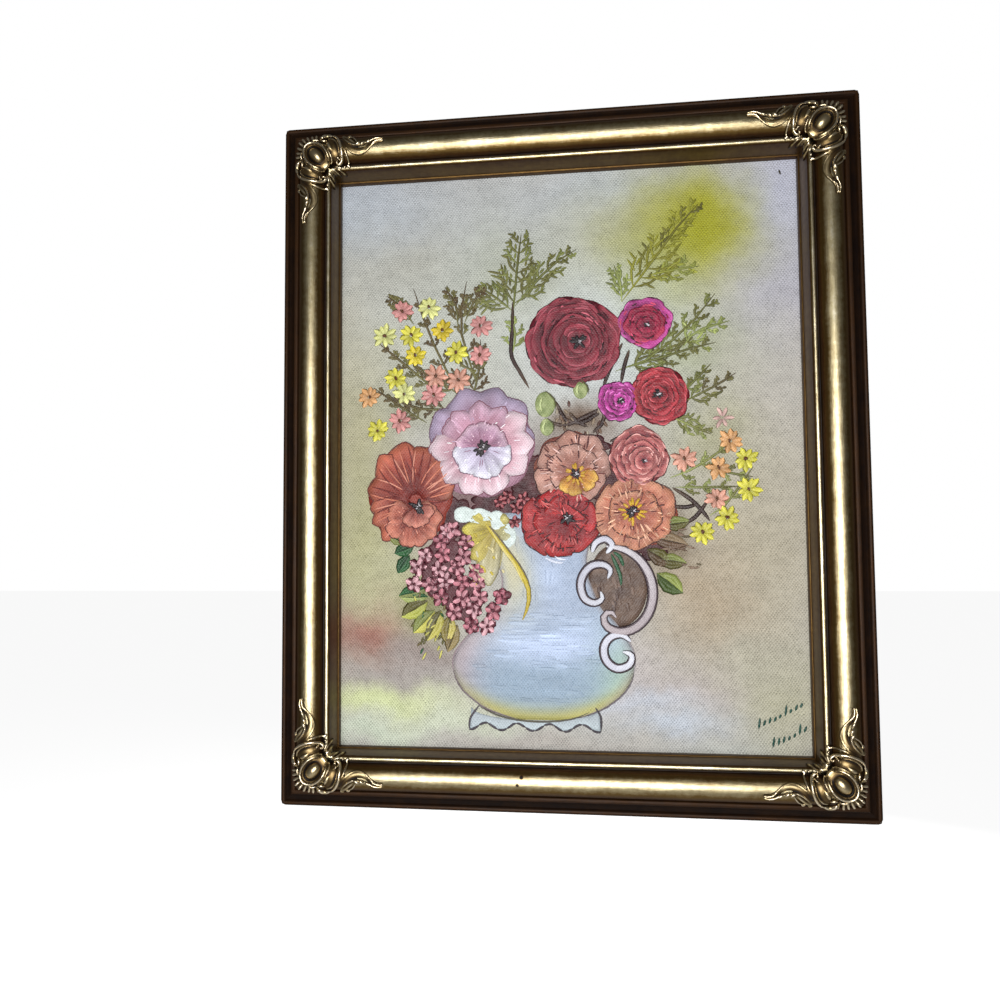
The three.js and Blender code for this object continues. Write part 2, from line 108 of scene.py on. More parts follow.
def place(tree, kind, inputs=None, output=0, **settings):
    """Adds a node and gives back one of its outputs, or all of them where output is None."""
    full_name = kind.startswith(("Geometry", "Function"))
    node = tree.nodes.new(kind if full_name else "ShaderNode" + kind)
    for key, value in settings.items():
        setattr(node, key, value)
    wire(node, inputs or {})
    return node.outputs if output is None else node.outputs[output]


def tree_of(*values):
    """The tree of the first socket among the values."""
    return next(value for value in values if isinstance(value, SOCKET)).id_data


def calculate(operation, first, second=0.0, third=0.0, clamp=False):
    """A Math node on two or three values, at least one of them a socket."""
    return place(tree_of(first, second, third), "Math", {0: first, 1: second, 2: third},
                 operation=operation, use_clamp=clamp)


def plus(first, second, clamp=False):
    return calculate("ADD", first, second, clamp=clamp)


def times(first, second):
    return calculate("MULTIPLY", first, second)


def scaled(value, factor, offset, clamp=False):
    """A value times a factor, plus an offset."""
    return calculate("MULTIPLY_ADD", value, factor, offset, clamp)


def joined(tree, x=0.0, y=0.0, z=0.0):
    """Three numbers as one vector."""
    return place(tree, "CombineXYZ", {0: x, 1: y, 2: z})


def mix_colour(factor, first, second, mode="MIX"):
    return place(tree_of(factor, first, second), "Mix", {0: factor, 6: first, 7: second}, 2,
                 data_type="RGBA", blend_type=mode)


def clouds_at(vector, scale, detail=2.0, roughness=0.5, output=0):
    """Cloudy noise, as a value or, from the output Color, as three values."""
    return place(vector.id_data, "TexNoise", {"Vector": vector, "Scale": scale, "Detail": detail,
                                              "Roughness": roughness}, output)


def bumped(height, strength, distance):
    """The normals of a surface with a fine relief."""
    return place(height.id_data, "Bump", {"Strength": strength, "Distance": distance,
                                          "Height": height})


print("sockets:", FLOAT, VECTOR, COLOUR)

# %% [markdown]
# Colours and ramps
#
# A maker picks colours as they look on a screen, from 0 to 255. A renderer adds up
# light, so it works in linear values, and one curve turns the first into the second. A ramp
# takes a number from 0 to 1 and gives the colour at that place between its stops.

# %% Helpers for colours
def to_linear(screen):
    c = np.clip(np.asarray(screen, float) / 255, 0, 1)
    return np.where(c <= 0.04045, c / 12.92, ((c + 0.055) / 1.055) ** 2.4)


def linear(*screen):
    """A screen colour as a linear colour with full alpha."""
    return (*to_linear(screen).tolist(), 1.0)


def grey(value):
    return (value, value, value, 1.0)


def ramp(factor, stops):
    """A Color Ramp with stops of a position and a colour, or a number for a grey."""
    added = place(factor.id_data, "ValToRGB", {0: factor})
    elements = added.node.color_ramp.elements
    while len(elements) < len(stops):
        elements.new(0.5)
    for element, (position, colour) in zip(elements, stops):
        element.position = position
        element.color = colour if isinstance(colour, tuple) else grey(colour)
    return added


print("screen grey 128 is linear", round(linear(128, 128, 128)[0], 3))

# %% [markdown]
# Groups and materials
#
# An effect that several finishes share is a node group: a small tree with named sockets, used
# like one node. A material starts with a Principled BSDF, which is given colour, roughness,
# metal and normals by the nodes round it.

# %% Helpers for groups and materials
def new_group(name, inputs, **outputs):
    """An empty shader node group. An input whose default is None is a vector."""
    tree = bpy.data.node_groups.new(name, "ShaderNodeTree")
    for socket, default in inputs.items():
        kind = VECTOR if default is None else FLOAT
        made = tree.interface.new_socket(socket, in_out="INPUT", socket_type=kind)
        if default is not None:
            made.default_value = default
    for socket, kind in outputs.items():
        tree.interface.new_socket(socket, in_out="OUTPUT", socket_type=kind)
    print("group:", name)
    return tree, tree.nodes.new("NodeGroupInput").outputs, tree.nodes.new("NodeGroupOutput")


def use_group(group, inputs, output=0):
    return place(tree_of(*inputs.values()), "Group", inputs, output, node_tree=group)


def new_material(name):
    """A material with an empty tree but for its Principled BSDF and output."""
    material = bpy.data.materials.new(name)
    material.use_nodes = True
    tree = material.node_tree
    print("material:", name)
    return material, tree, tree.nodes["Principled BSDF"]


print("helpers ready:", new_group.__name__, use_group.__name__, new_material.__name__)

# %% [markdown]
# Streaks: an effect that gilt, wood and paint share
#
# Leaf that is rubbed along a rail, wood with its grain and paint that is drawn out by bristles
# all show fine lines that run one way. One way to get them is to stretch a noise texture: its
# coordinates are squeezed along the line and spread across it. The group below does that on
# any pair of coordinates and puts out a value from 0 to 1.

# %% The streak group
STREAKS, given, result = new_group("Streaks", {
    "Along": 0.0, "Across": 0.0, "Seed": 0.0, "Along scale": 0.2, "Across scale": 6.0, "Detail": 3.0,
}, Value=FLOAT)
spot = joined(STREAKS, times(given["Along"], given["Along scale"]),
              times(given["Across"], given["Across scale"]), given["Seed"])
wire(result, {"Value": clouds_at(spot, 1.0, given["Detail"], 0.6)})
print("sockets:", *given.keys())

# %% [markdown]
# Worn leaf: the finish of the whole frame
#
# Metal leaf is laid over a red-brown clay, rubbed back on the high places, and toned with a
# dark brown wax that stays in the hollows. So the finish depends on one number, how much a
# place is rubbed: 0 is a wax-filled hollow, 1 is a bare bright edge. The group turns that
# number, broken up with noise so that no edge is drawn with a ruler, into colour, roughness,
# metal and a little height.

# %% The worn leaf group
WAX, CLAY, TONED_LEAF = linear(13, 5, 3), linear(62, 37, 12), linear(114, 90, 50)
BRIGHT_LEAF, PALE_LEAF = linear(196, 182, 144), linear(242, 236, 220)

LEAF, given, result = new_group("Worn leaf", {"Rub": 0.5, "Vector": None, "Breakup": 0.25},
                                Colour=COLOUR, Roughness=FLOAT, Metallic=FLOAT, Height=FLOAT)
mottle = clouds_at(given["Vector"], 420.0, 5.0, 0.62)
wide = plus(clouds_at(given["Vector"], 75.0, 3.0, 0.55), -0.5)
shift = times(plus(plus(mottle, -0.5), wide), given["Breakup"])
rub = plus(given["Rub"], shift, clamp=True)
leaf_rough = ramp(rub, [(0.0, 0.46), (0.35, 0.40), (1.0, 0.24)])
wire(result, {
    "Colour": ramp(rub, [(0.0, WAX), (0.2, CLAY), (0.45, TONED_LEAF), (0.75, BRIGHT_LEAF),
                         (1.0, PALE_LEAF)]),
    "Roughness": plus(leaf_rough, times(wide, 0.12), clamp=True),
    "Metallic": ramp(rub, [(0.0, 0.0), (0.2, 0.6), (0.4, 1.0)]),
    "Height": mottle,
})
print("nodes:", len(LEAF.nodes))

# %% [markdown]
# Gilt on the moulding
#
# Which parts of the rails are rubbed follows the section: the bead by the picture and the
# crown of the big round are bright, the wall by the lip, the crease behind the bead and the
# outer cove are dark. The rails carry the distance d and the distance along the rail as
# attributes, so a Color Ramp on d can place each band, and the streaks run along the rail.
# Two small knocks on the bottom rail went through the leaf; each is a spot where the rub is 0.

# %% The moulding's finish
def attribute(tree, name, output="Fac"):
    return place(tree, "Attribute", None, output, attribute_name=name)


def object_coordinates(tree):
    return place(tree, "TexCoord", None, "Object")


def gild(shader, leaf, colour, bump):
    """The worn leaf's values on a material's shader."""
    wire(shader, {"Base Color": colour, "Roughness": leaf["Roughness"], "Normal": bump,
                  "Metallic": leaf["Metallic"], "Specular IOR Level": 0.2})


gilt_moulding, tree, shader = new_material("gilt_moulding")
RUB_BY_DISTANCE = [
    (0.0, 0.24), (0.6, 0.34), (0.9, 0.16), (1.3, 0.5), (1.8, 0.8), (2.9, 0.72), (3.3, 0.02),
    (3.9, 0.06), (4.8, 0.34), (6.2, 0.56), (8.2, 0.76), (10.6, 0.62), (12.6, 0.40),
    (14.2, 0.20), (15.2, 0.05), (15.9, 0.12), (17.0, 0.10), (17.8, 0.03), (20.6, 0.02),
    (21.3, 0.04), (22.3, 0.14), (23.1, 0.05),
]
CHIPS = [(-18.4, 6.6, 0.8), (-20.0, 9.6, 0.65)]
section = attribute(tree, "section")
along_rail = {"Along": attribute(tree, "run"), "Across": section}
share = calculate("DIVIDE", section, RAIL_WIDTH)
banded = ramp(share, [(d / RAIL_WIDTH, rub) for d, rub in RUB_BY_DISTANCE])
streak = use_group(STREAKS, {**along_rail, "Along scale": 0.05, "Across scale": 7.0, "Detail": 4.0})
fine = use_group(STREAKS, {**along_rail, "Seed": 9.0, "Along scale": 0.6, "Across scale": 2.2})
uneven = plus(times(plus(streak, -0.5), 0.55), times(plus(fine, -0.5), 0.35))
worn = calculate("MULTIPLY_ADD", uneven, scaled(banded, 0.5, 0.2), banded)
here = object_coordinates(tree)
flat = place(tree, "VectorMath", {0: here, 1: (1, 0, 1)}, operation="MULTIPLY")
for chip_x, chip_d, radius in CHIPS:
    chip_at = (chip_x * MM, 0, (CENTRE_Z - SIGHT_HALF_HEIGHT - chip_d) * MM)
    away = place(tree, "VectorMath", {0: flat, 1: chip_at}, "Value", operation="DISTANCE")
    ragged = plus(times(fine, -1.2 * radius * MM), away)
    outside = place(tree, "MapRange", {"Value": ragged, "From Min": 0.0,
                                       "From Max": radius * 0.5 * MM})
    worn = times(worn, outside)
rubbed = plus(worn, 0.0, clamp=True)
leaf = use_group(LEAF, {"Rub": rubbed, "Vector": here, "Breakup": scaled(banded, 0.35, 0.08)}, None)
grain = plus(leaf["Height"], times(streak, 1.5))
gild(shader, leaf, leaf["Colour"], bumped(grain, 0.35, 0.00012))
print("bands:", len(RUB_BY_DISTANCE), "knocks:", len(CHIPS))

# %% [markdown]
# Gilt on the castings
#
# The corner ornaments are cast, not run, so their wear follows their relief. The mesh carries
# an attribute that compares each place with its surroundings, and that is used as the rub.

# %% The castings' finish
gilt_casting, tree, shader = new_material("gilt_casting")
BRONZE = linear(150, 131, 96)
sharpened = scaled(attribute(tree, "rub"), 1.9, -0.6, clamp=True)
leaf = use_group(LEAF, {"Rub": sharpened, "Vector": object_coordinates(tree), "Breakup": 0.22}, None)
bronze = mix_colour(0.5, leaf["Colour"], BRONZE, "COLOR")
gild(shader, leaf, bronze, bumped(leaf["Height"], 0.3, 0.0001))
print("nodes:", len(tree.nodes))

# %% [markdown]
# Bare wood on the back
#
# The back of the frame is plain softwood. Growth rings cut lengthwise show as long bands that
# waver and split. Folding a slow streak back and forth over itself gives those, and fine pores
# come from a narrow streak. The grain has to run along each rail, so both read the same run
# attribute as the gilt.

# %% The wood's finish
bare_wood, tree, shader = new_material("bare_wood")
grain_lines = {"Along": attribute(tree, "run"),
               "Across": plus(attribute(tree, "section"), attribute(tree, "cross"))}
rings = use_group(STREAKS, {**grain_lines, "Along scale": 0.012, "Across scale": 0.3, "Detail": 2.0})
pores = use_group(STREAKS, {**grain_lines, "Seed": 3.0, "Along scale": 0.35, "Across scale": 7.0})
bands = calculate("PINGPONG", times(rings, 9.0), 1.0)
wood = ramp(bands, [(0.0, linear(196, 158, 112)), (0.6, linear(178, 134, 88)),
                    (0.9, linear(146, 100, 60)), (1.0, linear(132, 88, 52))])
pored = ramp(pores, [(0.3, linear(120, 84, 52)), (0.6, linear(206, 170, 124))])
wire(shader, {"Base Color": mix_colour(0.35, wood, pored, "MULTIPLY"),
              "Roughness": plus(pores, 0.25), "Normal": bumped(pores, 0.5, 0.0002)})
print("nodes:", len(tree.nodes))

# %% [markdown]
# The moulding's section
#
# Seen end on, the moulding climbs from a thin lip over the painting, up a tall wall to a small
# bead, over a big half round, across a flat fillet, and down a hollow to a bead on the outer
# edge. Arcs are worked out from a centre and a radius, and only the corners between them are
# points. The CAD rails use the same section with coarser arcs.

# %% Draw the section
LIP_HEIGHT = 3.0
BEAD_CENTRE = (2.1, 12.5)
BEAD_RADIUS = 1.2
ROUND_CENTRE = (9.3, 11.7)
ROUND_RADIUS = 5.8
FILLET_HEIGHT = 12.9
EDGE_CENTRE = (22.3, 8.3)
EDGE_RADIUS = 1.1
BACK_HEIGHT = PAINT_Y
RABBET_WALL = LIP_OVERLAP + 0.4
GAP = 0.3
MITRE_GAP = 0.004


def arc(centre, radius, start, stop, steps):
    """Points on an arc between two angles in degrees."""
    angles = [math.radians(start + (stop - start) * i / steps) for i in range(steps + 1)]
    return [(centre[0] + radius * math.cos(a), centre[1] + radius * math.sin(a)) for a in angles]


# the shown face, from the sight edge to the outer edge
FACE = [
    (0, GAP), (0, 1.5), (0, LIP_HEIGHT - 0.35), (0.06, LIP_HEIGHT - 0.1), (0.2, LIP_HEIGHT),
    (0.42, LIP_HEIGHT + 0.06), (0.5, LIP_HEIGHT + 0.1), (0.52, LIP_HEIGHT + 1),
    (0.55, LIP_HEIGHT + 4), (0.68, 9.6), (0.82, 12.1), (0.85, 12.6),
    *arc(BEAD_CENTRE, BEAD_RADIUS, 172, 14, 16),
    *arc(ROUND_CENTRE, ROUND_RADIUS, 169, 0, 40),
    (15.25, 12.0), (15.5, 12.45), (15.7, 12.7), (15.88, 12.84), (16.1, FILLET_HEIGHT),
    (16.6, FILLET_HEIGHT), (17.1, FILLET_HEIGHT), (17.28, 12.82), (17.4, 12.6), (17.46, 12.1),
    (17.6, 11.5), (17.95, 10.65), (18.4, 10.0), (18.95, 9.38), (19.6, 8.9), (20.3, 8.58),
    (21.0, 8.4),
    *arc(EDGE_CENTRE, EDGE_RADIUS, 150, 0, 12),
]


def face_height(d):
    """The face's height at a distance d from the sight edge."""
    for (d0, h0), (d1, h1) in zip(FACE, FACE[1:]):
        if d1 > d0 and d0 <= d <= d1:
            return h0 + (h1 - h0) * (d - d0) / (d1 - d0)
    return LIP_HEIGHT if d < 0 else EDGE_CENTRE[1]


SIDE_STEPS = 5
outer_side = [(RAIL_WIDTH, EDGE_CENTRE[1] + (BACK_HEIGHT - EDGE_CENTRE[1]) * i / SIDE_STEPS)
              for i in range(1, SIDE_STEPS + 1)]
RAIL_OUTLINE = [*FACE, *outer_side, (RABBET_WALL, BACK_HEIGHT), (RABBET_WALL, GAP)]
print("section points:", len(RAIL_OUTLINE))

# %% [markdown]
# The rails
#
# A mitred rail is one section carried along a line, with both ends sawn at 45 degrees. That is
# a rule, so Geometry Nodes can make it: the outline is swept along a line of length 1 and the
# line is then stretched, by more the further out a point lies, which is what a mitre does. A
# little noise lifts the face here and there, as hand-laid gesso and leaf are never quite flat.
# The same tree makes all four rails: only the length, the reach and the turn change.
#
# Each number that a person would want to change is a named input of the tree.

# %% Helpers for Geometry Nodes
def new_geometry_tree(name, sizes, **others):
    """A Geometry Nodes tree whose inputs are a geometry, the sizes, and others with their kinds."""
    tree = bpy.data.node_groups.new(name, "GeometryNodeTree")
    geometry = {"Geometry": "NodeSocketGeometry"}
    for socket, kind in {**geometry, **dict.fromkeys(sizes, FLOAT), **others}.items():
        tree.interface.new_socket(socket, in_out="INPUT", socket_type=kind)
    tree.interface.new_socket("Geometry", in_out="OUTPUT", socket_type=geometry["Geometry"])
    return tree, tree.nodes.new("NodeGroupInput").outputs


def end_tree(tree, geometry, finish):
    """The tree's last nodes: real geometry, its material, and the output."""
    real = place(tree, "GeometryNodeRealizeInstances", {0: geometry})
    dressed = place(tree, "GeometryNodeSetMaterial", {"Geometry": real, "Material": finish})
    wire(tree.nodes.new("NodeGroupOutput"), {0: dressed})
    print("tree:", tree.name, len(tree.nodes), "nodes")


def store(tree, geometry, name, value):
    """Stores a named attribute on the points."""
    return place(tree, "GeometryNodeStoreNamedAttribute",
                 {"Geometry": geometry, "Name": name, "Value": value},
                 data_type="FLOAT", domain="POINT")


def smoothed(tree, geometry):
    return place(tree, "GeometryNodeSetShadeSmooth", {"Geometry": geometry, "Shade Smooth": True},
                 domain="FACE")


def show(name, mesh):
    """Links a mesh as an object at the origin."""
    piece = bpy.data.objects.new(name, mesh)
    bpy.context.scene.collection.objects.link(piece)
    return piece


def applied(piece):
    """The mesh of an object with its modifiers worked in."""
    bpy.context.view_layer.update()
    evaluated = piece.evaluated_get(bpy.context.evaluated_depsgraph_get())
    mesh = bpy.data.meshes.new_from_object(evaluated)
    piece.modifiers.clear()
    piece.data = mesh
    return mesh


def grow(name, seed_mesh, tree, values):
    """Runs a tree on a mesh, with the given inputs, and returns the result as a plain mesh."""
    seed = show(name + "_seed", seed_mesh)
    modifier = seed.modifiers.new("grow", "NODES")
    modifier.node_group = tree
    values = {"Paint depth": PAINT_Y * MM, "Picture height": CENTRE_Z * MM, **values}
    for item in tree.interface.items_tree:
        if item.in_out == "INPUT" and item.name in values:
            modifier[item.identifier] = values[item.name]
    mesh = applied(seed)
    bpy.data.objects.remove(seed)
    mesh.name = name
    return mesh


def triangles(mesh):
    return sum(len(face.vertices) - 2 for face in mesh.polygons)


def face_outwards(mesh):
    """Merges doubles and turns every face outwards."""
    edit = bmesh.new()
    edit.from_mesh(mesh)
    bmesh.ops.remove_doubles(edit, verts=edit.verts, dist=1e-7)
    bmesh.ops.recalc_face_normals(edit, faces=edit.faces)
    edit.to_mesh(mesh)
    edit.free()
    mesh.update()


print("geometry helpers ready")

# %% [markdown]
# The tree of a rail
#
# The line's own axis is Z here, so a point of the sweep has the section in X and Y and its place
# along the rail in Z. Those three numbers are stored as attributes first, for the finishes to
# read, and then turned into the point's real place.

# %% The rail tree
tree, given = new_geometry_tree(
    "Mitred rail",
    ("Length", "Reach", "Turn", "Saw cut", "Paint depth", "Picture height", "Unevenness"),
    Steps="NodeSocketInt", Finish="NodeSocketMaterial")
RAIL_TREE = tree
SHARP_EDGE = math.radians(38)
CALM_BELOW, LIFTED_ABOVE = 0.0085, 0.0115
outline = place(tree, "GeometryNodeMeshToCurve", {0: given["Geometry"]})
line = place(tree, "GeometryNodeCurvePrimitiveLine", {"Start": (0, 0, -0.5), "End": (0, 0, 0.5)})
line = place(tree, "GeometryNodeResampleCurve", {"Curve": line, "Count": given["Steps"]})
swept = place(tree, "GeometryNodeCurveToMesh",
              {"Curve": line, "Profile Curve": outline, "Fill Caps": True})
at = place(tree, "GeometryNodeInputPosition")
out, high, far = place(tree, "SeparateXYZ", {0: at}, None)
sawn = calculate("SUBTRACT", out, given["Saw cut"])
run = times(far, plus(given["Length"], times(sawn, 2.0)))
for name, value in (("section", out), ("cross", high), ("run", run)):
    swept = store(tree, swept, name, times(value, 1000.0))
wave_at = joined(tree, times(run, 160.0), times(out, 420.0), given["Turn"])
raised = place(tree, "MapRange", {"Value": high, "From Min": CALM_BELOW,
                                   "From Max": LIFTED_ABOVE})
lift = times(times(plus(clouds_at(wave_at, 1.0), -0.5), raised), given["Unevenness"])
spot = joined(tree, run, times(plus(high, lift), -1.0), plus(out, given["Reach"]))
laid = place(tree, "GeometryNodeSetPosition", {"Geometry": swept, "Position": spot})
turned_rail = place(tree, "GeometryNodeTransform", {
    "Geometry": laid, "Translation": joined(tree, 0.0, given["Paint depth"], given["Picture height"]),
    "Rotation": joined(tree, 0.0, given["Turn"])})
angle = place(tree, "GeometryNodeInputMeshEdgeAngle")
sharp = place(tree, "FunctionNodeCompare", {0: angle, 1: SHARP_EDGE}, operation="GREATER_THAN")
creased = place(tree, "GeometryNodeSetShadeSmooth",
                {"Geometry": smoothed(tree, turned_rail), "Selection": sharp, "Shade Smooth": False},
                domain="EDGE")
end_tree(tree, creased, given["Finish"])

# %% [markdown]
# Cutting the rails
#
# The top rail has a shallow recess for the hanger in its back, with a bore for each nail, and
# every rail has a slot for each retainer point. A boolean is the direct way to take a known
# box out of a solid. The cutters are made a little larger than the hardware they are for.
# What the cuts and the back show is bare wood, and the outermost points of the mitres are
# drawn in to a small radius, as handling wears them.

# %% Cutters, bare wood and worn corners
RECESS_DEPTH, RECESS_MARGIN, NAIL_BORE = 3.0, 0.9, 1.0
CORNER_ROUND = 2.6
EDGE_MARGIN, DEPTH_MARGIN = 0.02, 0.25


def mesh_of(name, points, faces=(), edges=()):
    mesh = bpy.data.meshes.new(name)
    mesh.from_pydata([tuple(point) for point in points], edges, faces)
    return mesh


def boxes_mesh(boxes):
    """One mesh of several boxes, each given by its lowest and highest corner in metres."""
    edit = bmesh.new()
    for low, high in boxes:
        made = bmesh.ops.create_cube(edit, size=1.0)["verts"]
        bmesh.ops.scale(edit, vec=high - low, verts=made)
        bmesh.ops.translate(edit, vec=(high + low) / 2, verts=made)
    mesh = bpy.data.meshes.new("boxes")
    edit.to_mesh(mesh)
    edit.free()
    return mesh


def cut(piece, cutter_mesh, solver="EXACT"):
    """Takes a cutter's volume out of a piece."""
    cutter = show("cutter", cutter_mesh)
    modifier = piece.modifiers.new("cut", "BOOLEAN")
    modifier.operation = "DIFFERENCE"
    modifier.solver = solver
    modifier.object = cutter
    applied(piece)
    bpy.data.objects.remove(cutter)


def grown_box(node, margin):
    """A node's box, grown by a margin in millimetres."""
    low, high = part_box(node)
    grow_by = Vector((margin, margin, margin)) * MM
    return low - grow_by, high + grow_by


def hanger_boxes():
    """The recess behind the hanger and a square hole for each of its nails."""
    low, high = grown_box("hanger_plate", RECESS_MARGIN)
    low.y, high.y = -RECESS_DEPTH * MM, RECESS_DEPTH * MM
    boxes = [(low, high)]
    for node in ("hanger_nail_left", "hanger_nail_right"):
        low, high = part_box(node)
        middle = (low + high) / 2
        half = Vector((NAIL_BORE, 0, NAIL_BORE)) * MM
        start, stop = middle - half, middle + half
        start.y, stop.y = low.y - GAP * MM, -RECESS_DEPTH * MM / 2
        boxes.append((start, stop))
    return boxes


def dress(mesh, *finishes):
    """Gives a mesh its finishes in place of what it has."""
    mesh.materials.clear()
    for finish in finishes:
        mesh.materials.append(finish)


def dress_rail(mesh):
    """Gives the back, the rabbet and the cuts the bare wood, and the shown face the gilt."""
    dress(mesh, gilt_moulding, bare_wood)
    behind = (PAINT_Y - DEPTH_MARGIN) * MM
    edge_x = (OUTER_HALF_WIDTH - EDGE_MARGIN) * MM
    edge_z = (OUTER_HALF_HEIGHT - EDGE_MARGIN) * MM
    for face in mesh.polygons:
        x, y, z = face.center
        inside = abs(x) < edge_x and abs(z - CENTRE_Z * MM) < edge_z
        face.material_index = int(y > behind and inside)


def round_corners(mesh):
    """Draws the outermost points of the mitres in to a small radius."""
    for vertex in mesh.vertices:
        x, z = vertex.co.x / MM, vertex.co.z / MM - CENTRE_Z
        over_x = abs(x) - (OUTER_HALF_WIDTH - CORNER_ROUND)
        over_z = abs(z) - (OUTER_HALF_HEIGHT - CORNER_ROUND)
        if over_x > 0 and over_z > 0 and math.hypot(over_x, over_z) > CORNER_ROUND:
            pull = 1 - CORNER_ROUND / math.hypot(over_x, over_z)
            vertex.co.x -= math.copysign(over_x * pull, x) * MM
            vertex.co.z -= math.copysign(over_z * pull, z) * MM


print("recess:", RECESS_DEPTH, "mm deep, boxes:", len(hanger_boxes()))

# %% [markdown]
# Four rails from one tree
#
# The outline is a ring of bare edges, and the tree does the rest. Each rail gets its length,
# how far it stands from the middle of the picture and its quarter turn, and is then cut,
# dressed and rounded.

# %% Make the rails
RAIL_STEPS = 150
UNEVENNESS = 0.22

outline_edges = [(i, (i + 1) % len(RAIL_OUTLINE)) for i in range(len(RAIL_OUTLINE))]
outline_mesh = mesh_of("outline", [(d * MM, h * MM, 0.0) for d, h in RAIL_OUTLINE], (), outline_edges)
WIDE, HIGH = (SIGHT_HALF_WIDTH, SIGHT_HALF_HEIGHT), (SIGHT_HALF_HEIGHT, SIGHT_HALF_WIDTH)
SIDES = {"top": (0, WIDE), "right": (1, HIGH), "bottom": (2, WIDE), "left": (3, HIGH)}
rails = {}
for side, (quarter, (half_length, reach)) in SIDES.items():
    rail_mesh = grow("moulding_" + side, outline_mesh, RAIL_TREE, {
        "Length": 2 * half_length * MM,
        "Reach": reach * MM,
        "Turn": quarter * math.pi / 2,
        "Saw cut": MITRE_GAP * MM,
        "Unevenness": UNEVENNESS * MM,
        "Steps": RAIL_STEPS,
        "Finish": gilt_moulding,
    })
    face_outwards(rail_mesh)
    rail = show("moulding_" + side, rail_mesh)
    cut(rail, boxes_mesh([grown_box(f"point_{side}_{i}", GAP) for i in (1, 2)]))
    if side == "top":
        cut(rail, boxes_mesh(hanger_boxes()))
    dress_rail(rail.data)
    round_corners(rail.data)
    rails[side] = rail
    print(rail.name, triangles(rail.data), "triangles")

# %% [markdown]
# The corner ornaments
#
# Each corner carries a cast leaf ornament: an oval boss in a double ring, a fan of flutes
# round the outer corner, and on each arm a C scroll, a curling spray and a short palmette over
# the bead. A carver would call every form a stroke: a rounded ridge that swells and dies out
# along a line. So each form here is a closed tube drawn along a path that is draped over the
# moulding. A voxel remesh then melts all the tubes into one skin, with the soft inner corners
# that a casting has, and a boolean takes the moulding itself out from under it.
#
# The design is drawn in corner space, in millimetres: u and v run along the two rails from the
# outer corner, and h towards the viewer.

# %% Drawing strokes on the moulding
CLUSTER_LEVEL = 16.8
SOFTNESS = 3


def seat_height(u, v):
    return face_height(RAIL_WIDTH - min(u, v))


def spline(points, count):
    """Points evenly spaced in parameter on a Catmull-Rom curve through the given points."""
    p = np.array(points, float)
    p = np.vstack([2 * p[0] - p[1], p, 2 * p[-1] - p[-2]])
    spots = np.linspace(0, len(points) - 1, count)
    first = np.minimum(spots.astype(int), len(points) - 2)
    t = (spots - first)[:, None]
    a, b, c, d = (p[first + k] for k in range(4))
    return 0.5 * (2 * b + (c - a) * t + (2 * a - 5 * b + 4 * c - d) * t ** 2
                  + (3 * b - a - 3 * c + d) * t ** 3)


def drape(points, rise, level, count):
    """A path over the moulding. Level lifts it towards the height of the whole cluster."""
    flat = spline(points, count)
    heights = np.array([seat_height(u, v) for u, v in flat])
    padded = np.pad(heights, SOFTNESS, mode="edge")
    kernel = np.ones(2 * SOFTNESS + 1) / (2 * SOFTNESS + 1)
    heights = np.convolve(padded, kernel, mode="valid")
    heights = heights * (1 - level) + CLUSTER_LEVEL * level
    return np.column_stack([flat, heights + rise])


def band_faces(rings, sides, capped=True):
    """Faces between neighbouring rings of points, with end caps or joined in a circle."""
    faces = []
    for i in range(rings - capped):
        n = (i + 1) % rings
        for j in range(sides):
            k = (j + 1) % sides
            faces.append((i * sides + j, i * sides + k, n * sides + k, n * sides + j))
    if capped:
        faces.append(tuple(range(sides - 1, -1, -1)))
        faces.append(tuple((rings - 1) * sides + j for j in range(sides)))
    return faces


def tube(path, half_width, half_height, sides=12, up=(0, 0, 1)):
    """A closed tube along a path: half_width(t) across it and half_height(t) along up."""
    path = np.array(path, float)
    count = len(path)
    t = (np.arange(count) + 0.5) / count
    tangent = np.gradient(path, axis=0)
    relief = np.array(up, float)
    across = np.cross(relief, tangent)
    across /= np.linalg.norm(across, axis=1)[:, None]
    around = np.linspace(0, 2 * np.pi, sides, endpoint=False)
    wide = np.array([half_width(value) for value in t])[:, None, None]
    high = np.array([half_height(value) for value in t])[:, None, None]
    rings = (path[:, None, :] + across[:, None, :] * np.cos(around)[None, :, None] * wide
             + relief[None, None, :] * np.sin(around)[None, :, None] * high)
    return rings.reshape(-1, 3), band_faces(count, sides)


print("seat height at the boss:", round(seat_height(17.5, 17.5), 2), "mm")

# %% [markdown]
# How a form swells
#
# A stroke's width and height change along it. Three curves say how: full in the middle, drawn
# out to a tail, or ending in a thick head. The boss and the rings round it aren't strokes, and
# have their own functions, on an oval that is tilted in (u, v).

# %% Swelling lines, domes and rings
def rounded(size):
    """Full in the middle and falling away at both ends."""
    return lambda t: size * math.sin(math.pi * t) ** 0.5


def tailed(size):
    """Full near the start and drawn out to a tail."""
    return lambda t: size * math.sin(math.pi * t) ** 0.45 * (1 - 0.75 * t)


def headed(size):
    """A rib that ends in a thick round head."""
    return lambda t: size * math.sin(math.pi * t) ** 0.4 * (0.5 + 0.5 * t ** 2)


def oval_point(centre, half, tilt, angle):
    turn = math.radians(tilt)
    x = half[0] * math.cos(math.radians(angle))
    y = half[1] * math.sin(math.radians(angle))
    return (centre[0] + x * math.cos(turn) - y * math.sin(turn),
            centre[1] + x * math.sin(turn) + y * math.cos(turn))


DOME_RINGS, DOME_SIDES = 16, 32
RING_STEPS, RING_SIDES = 64, 10


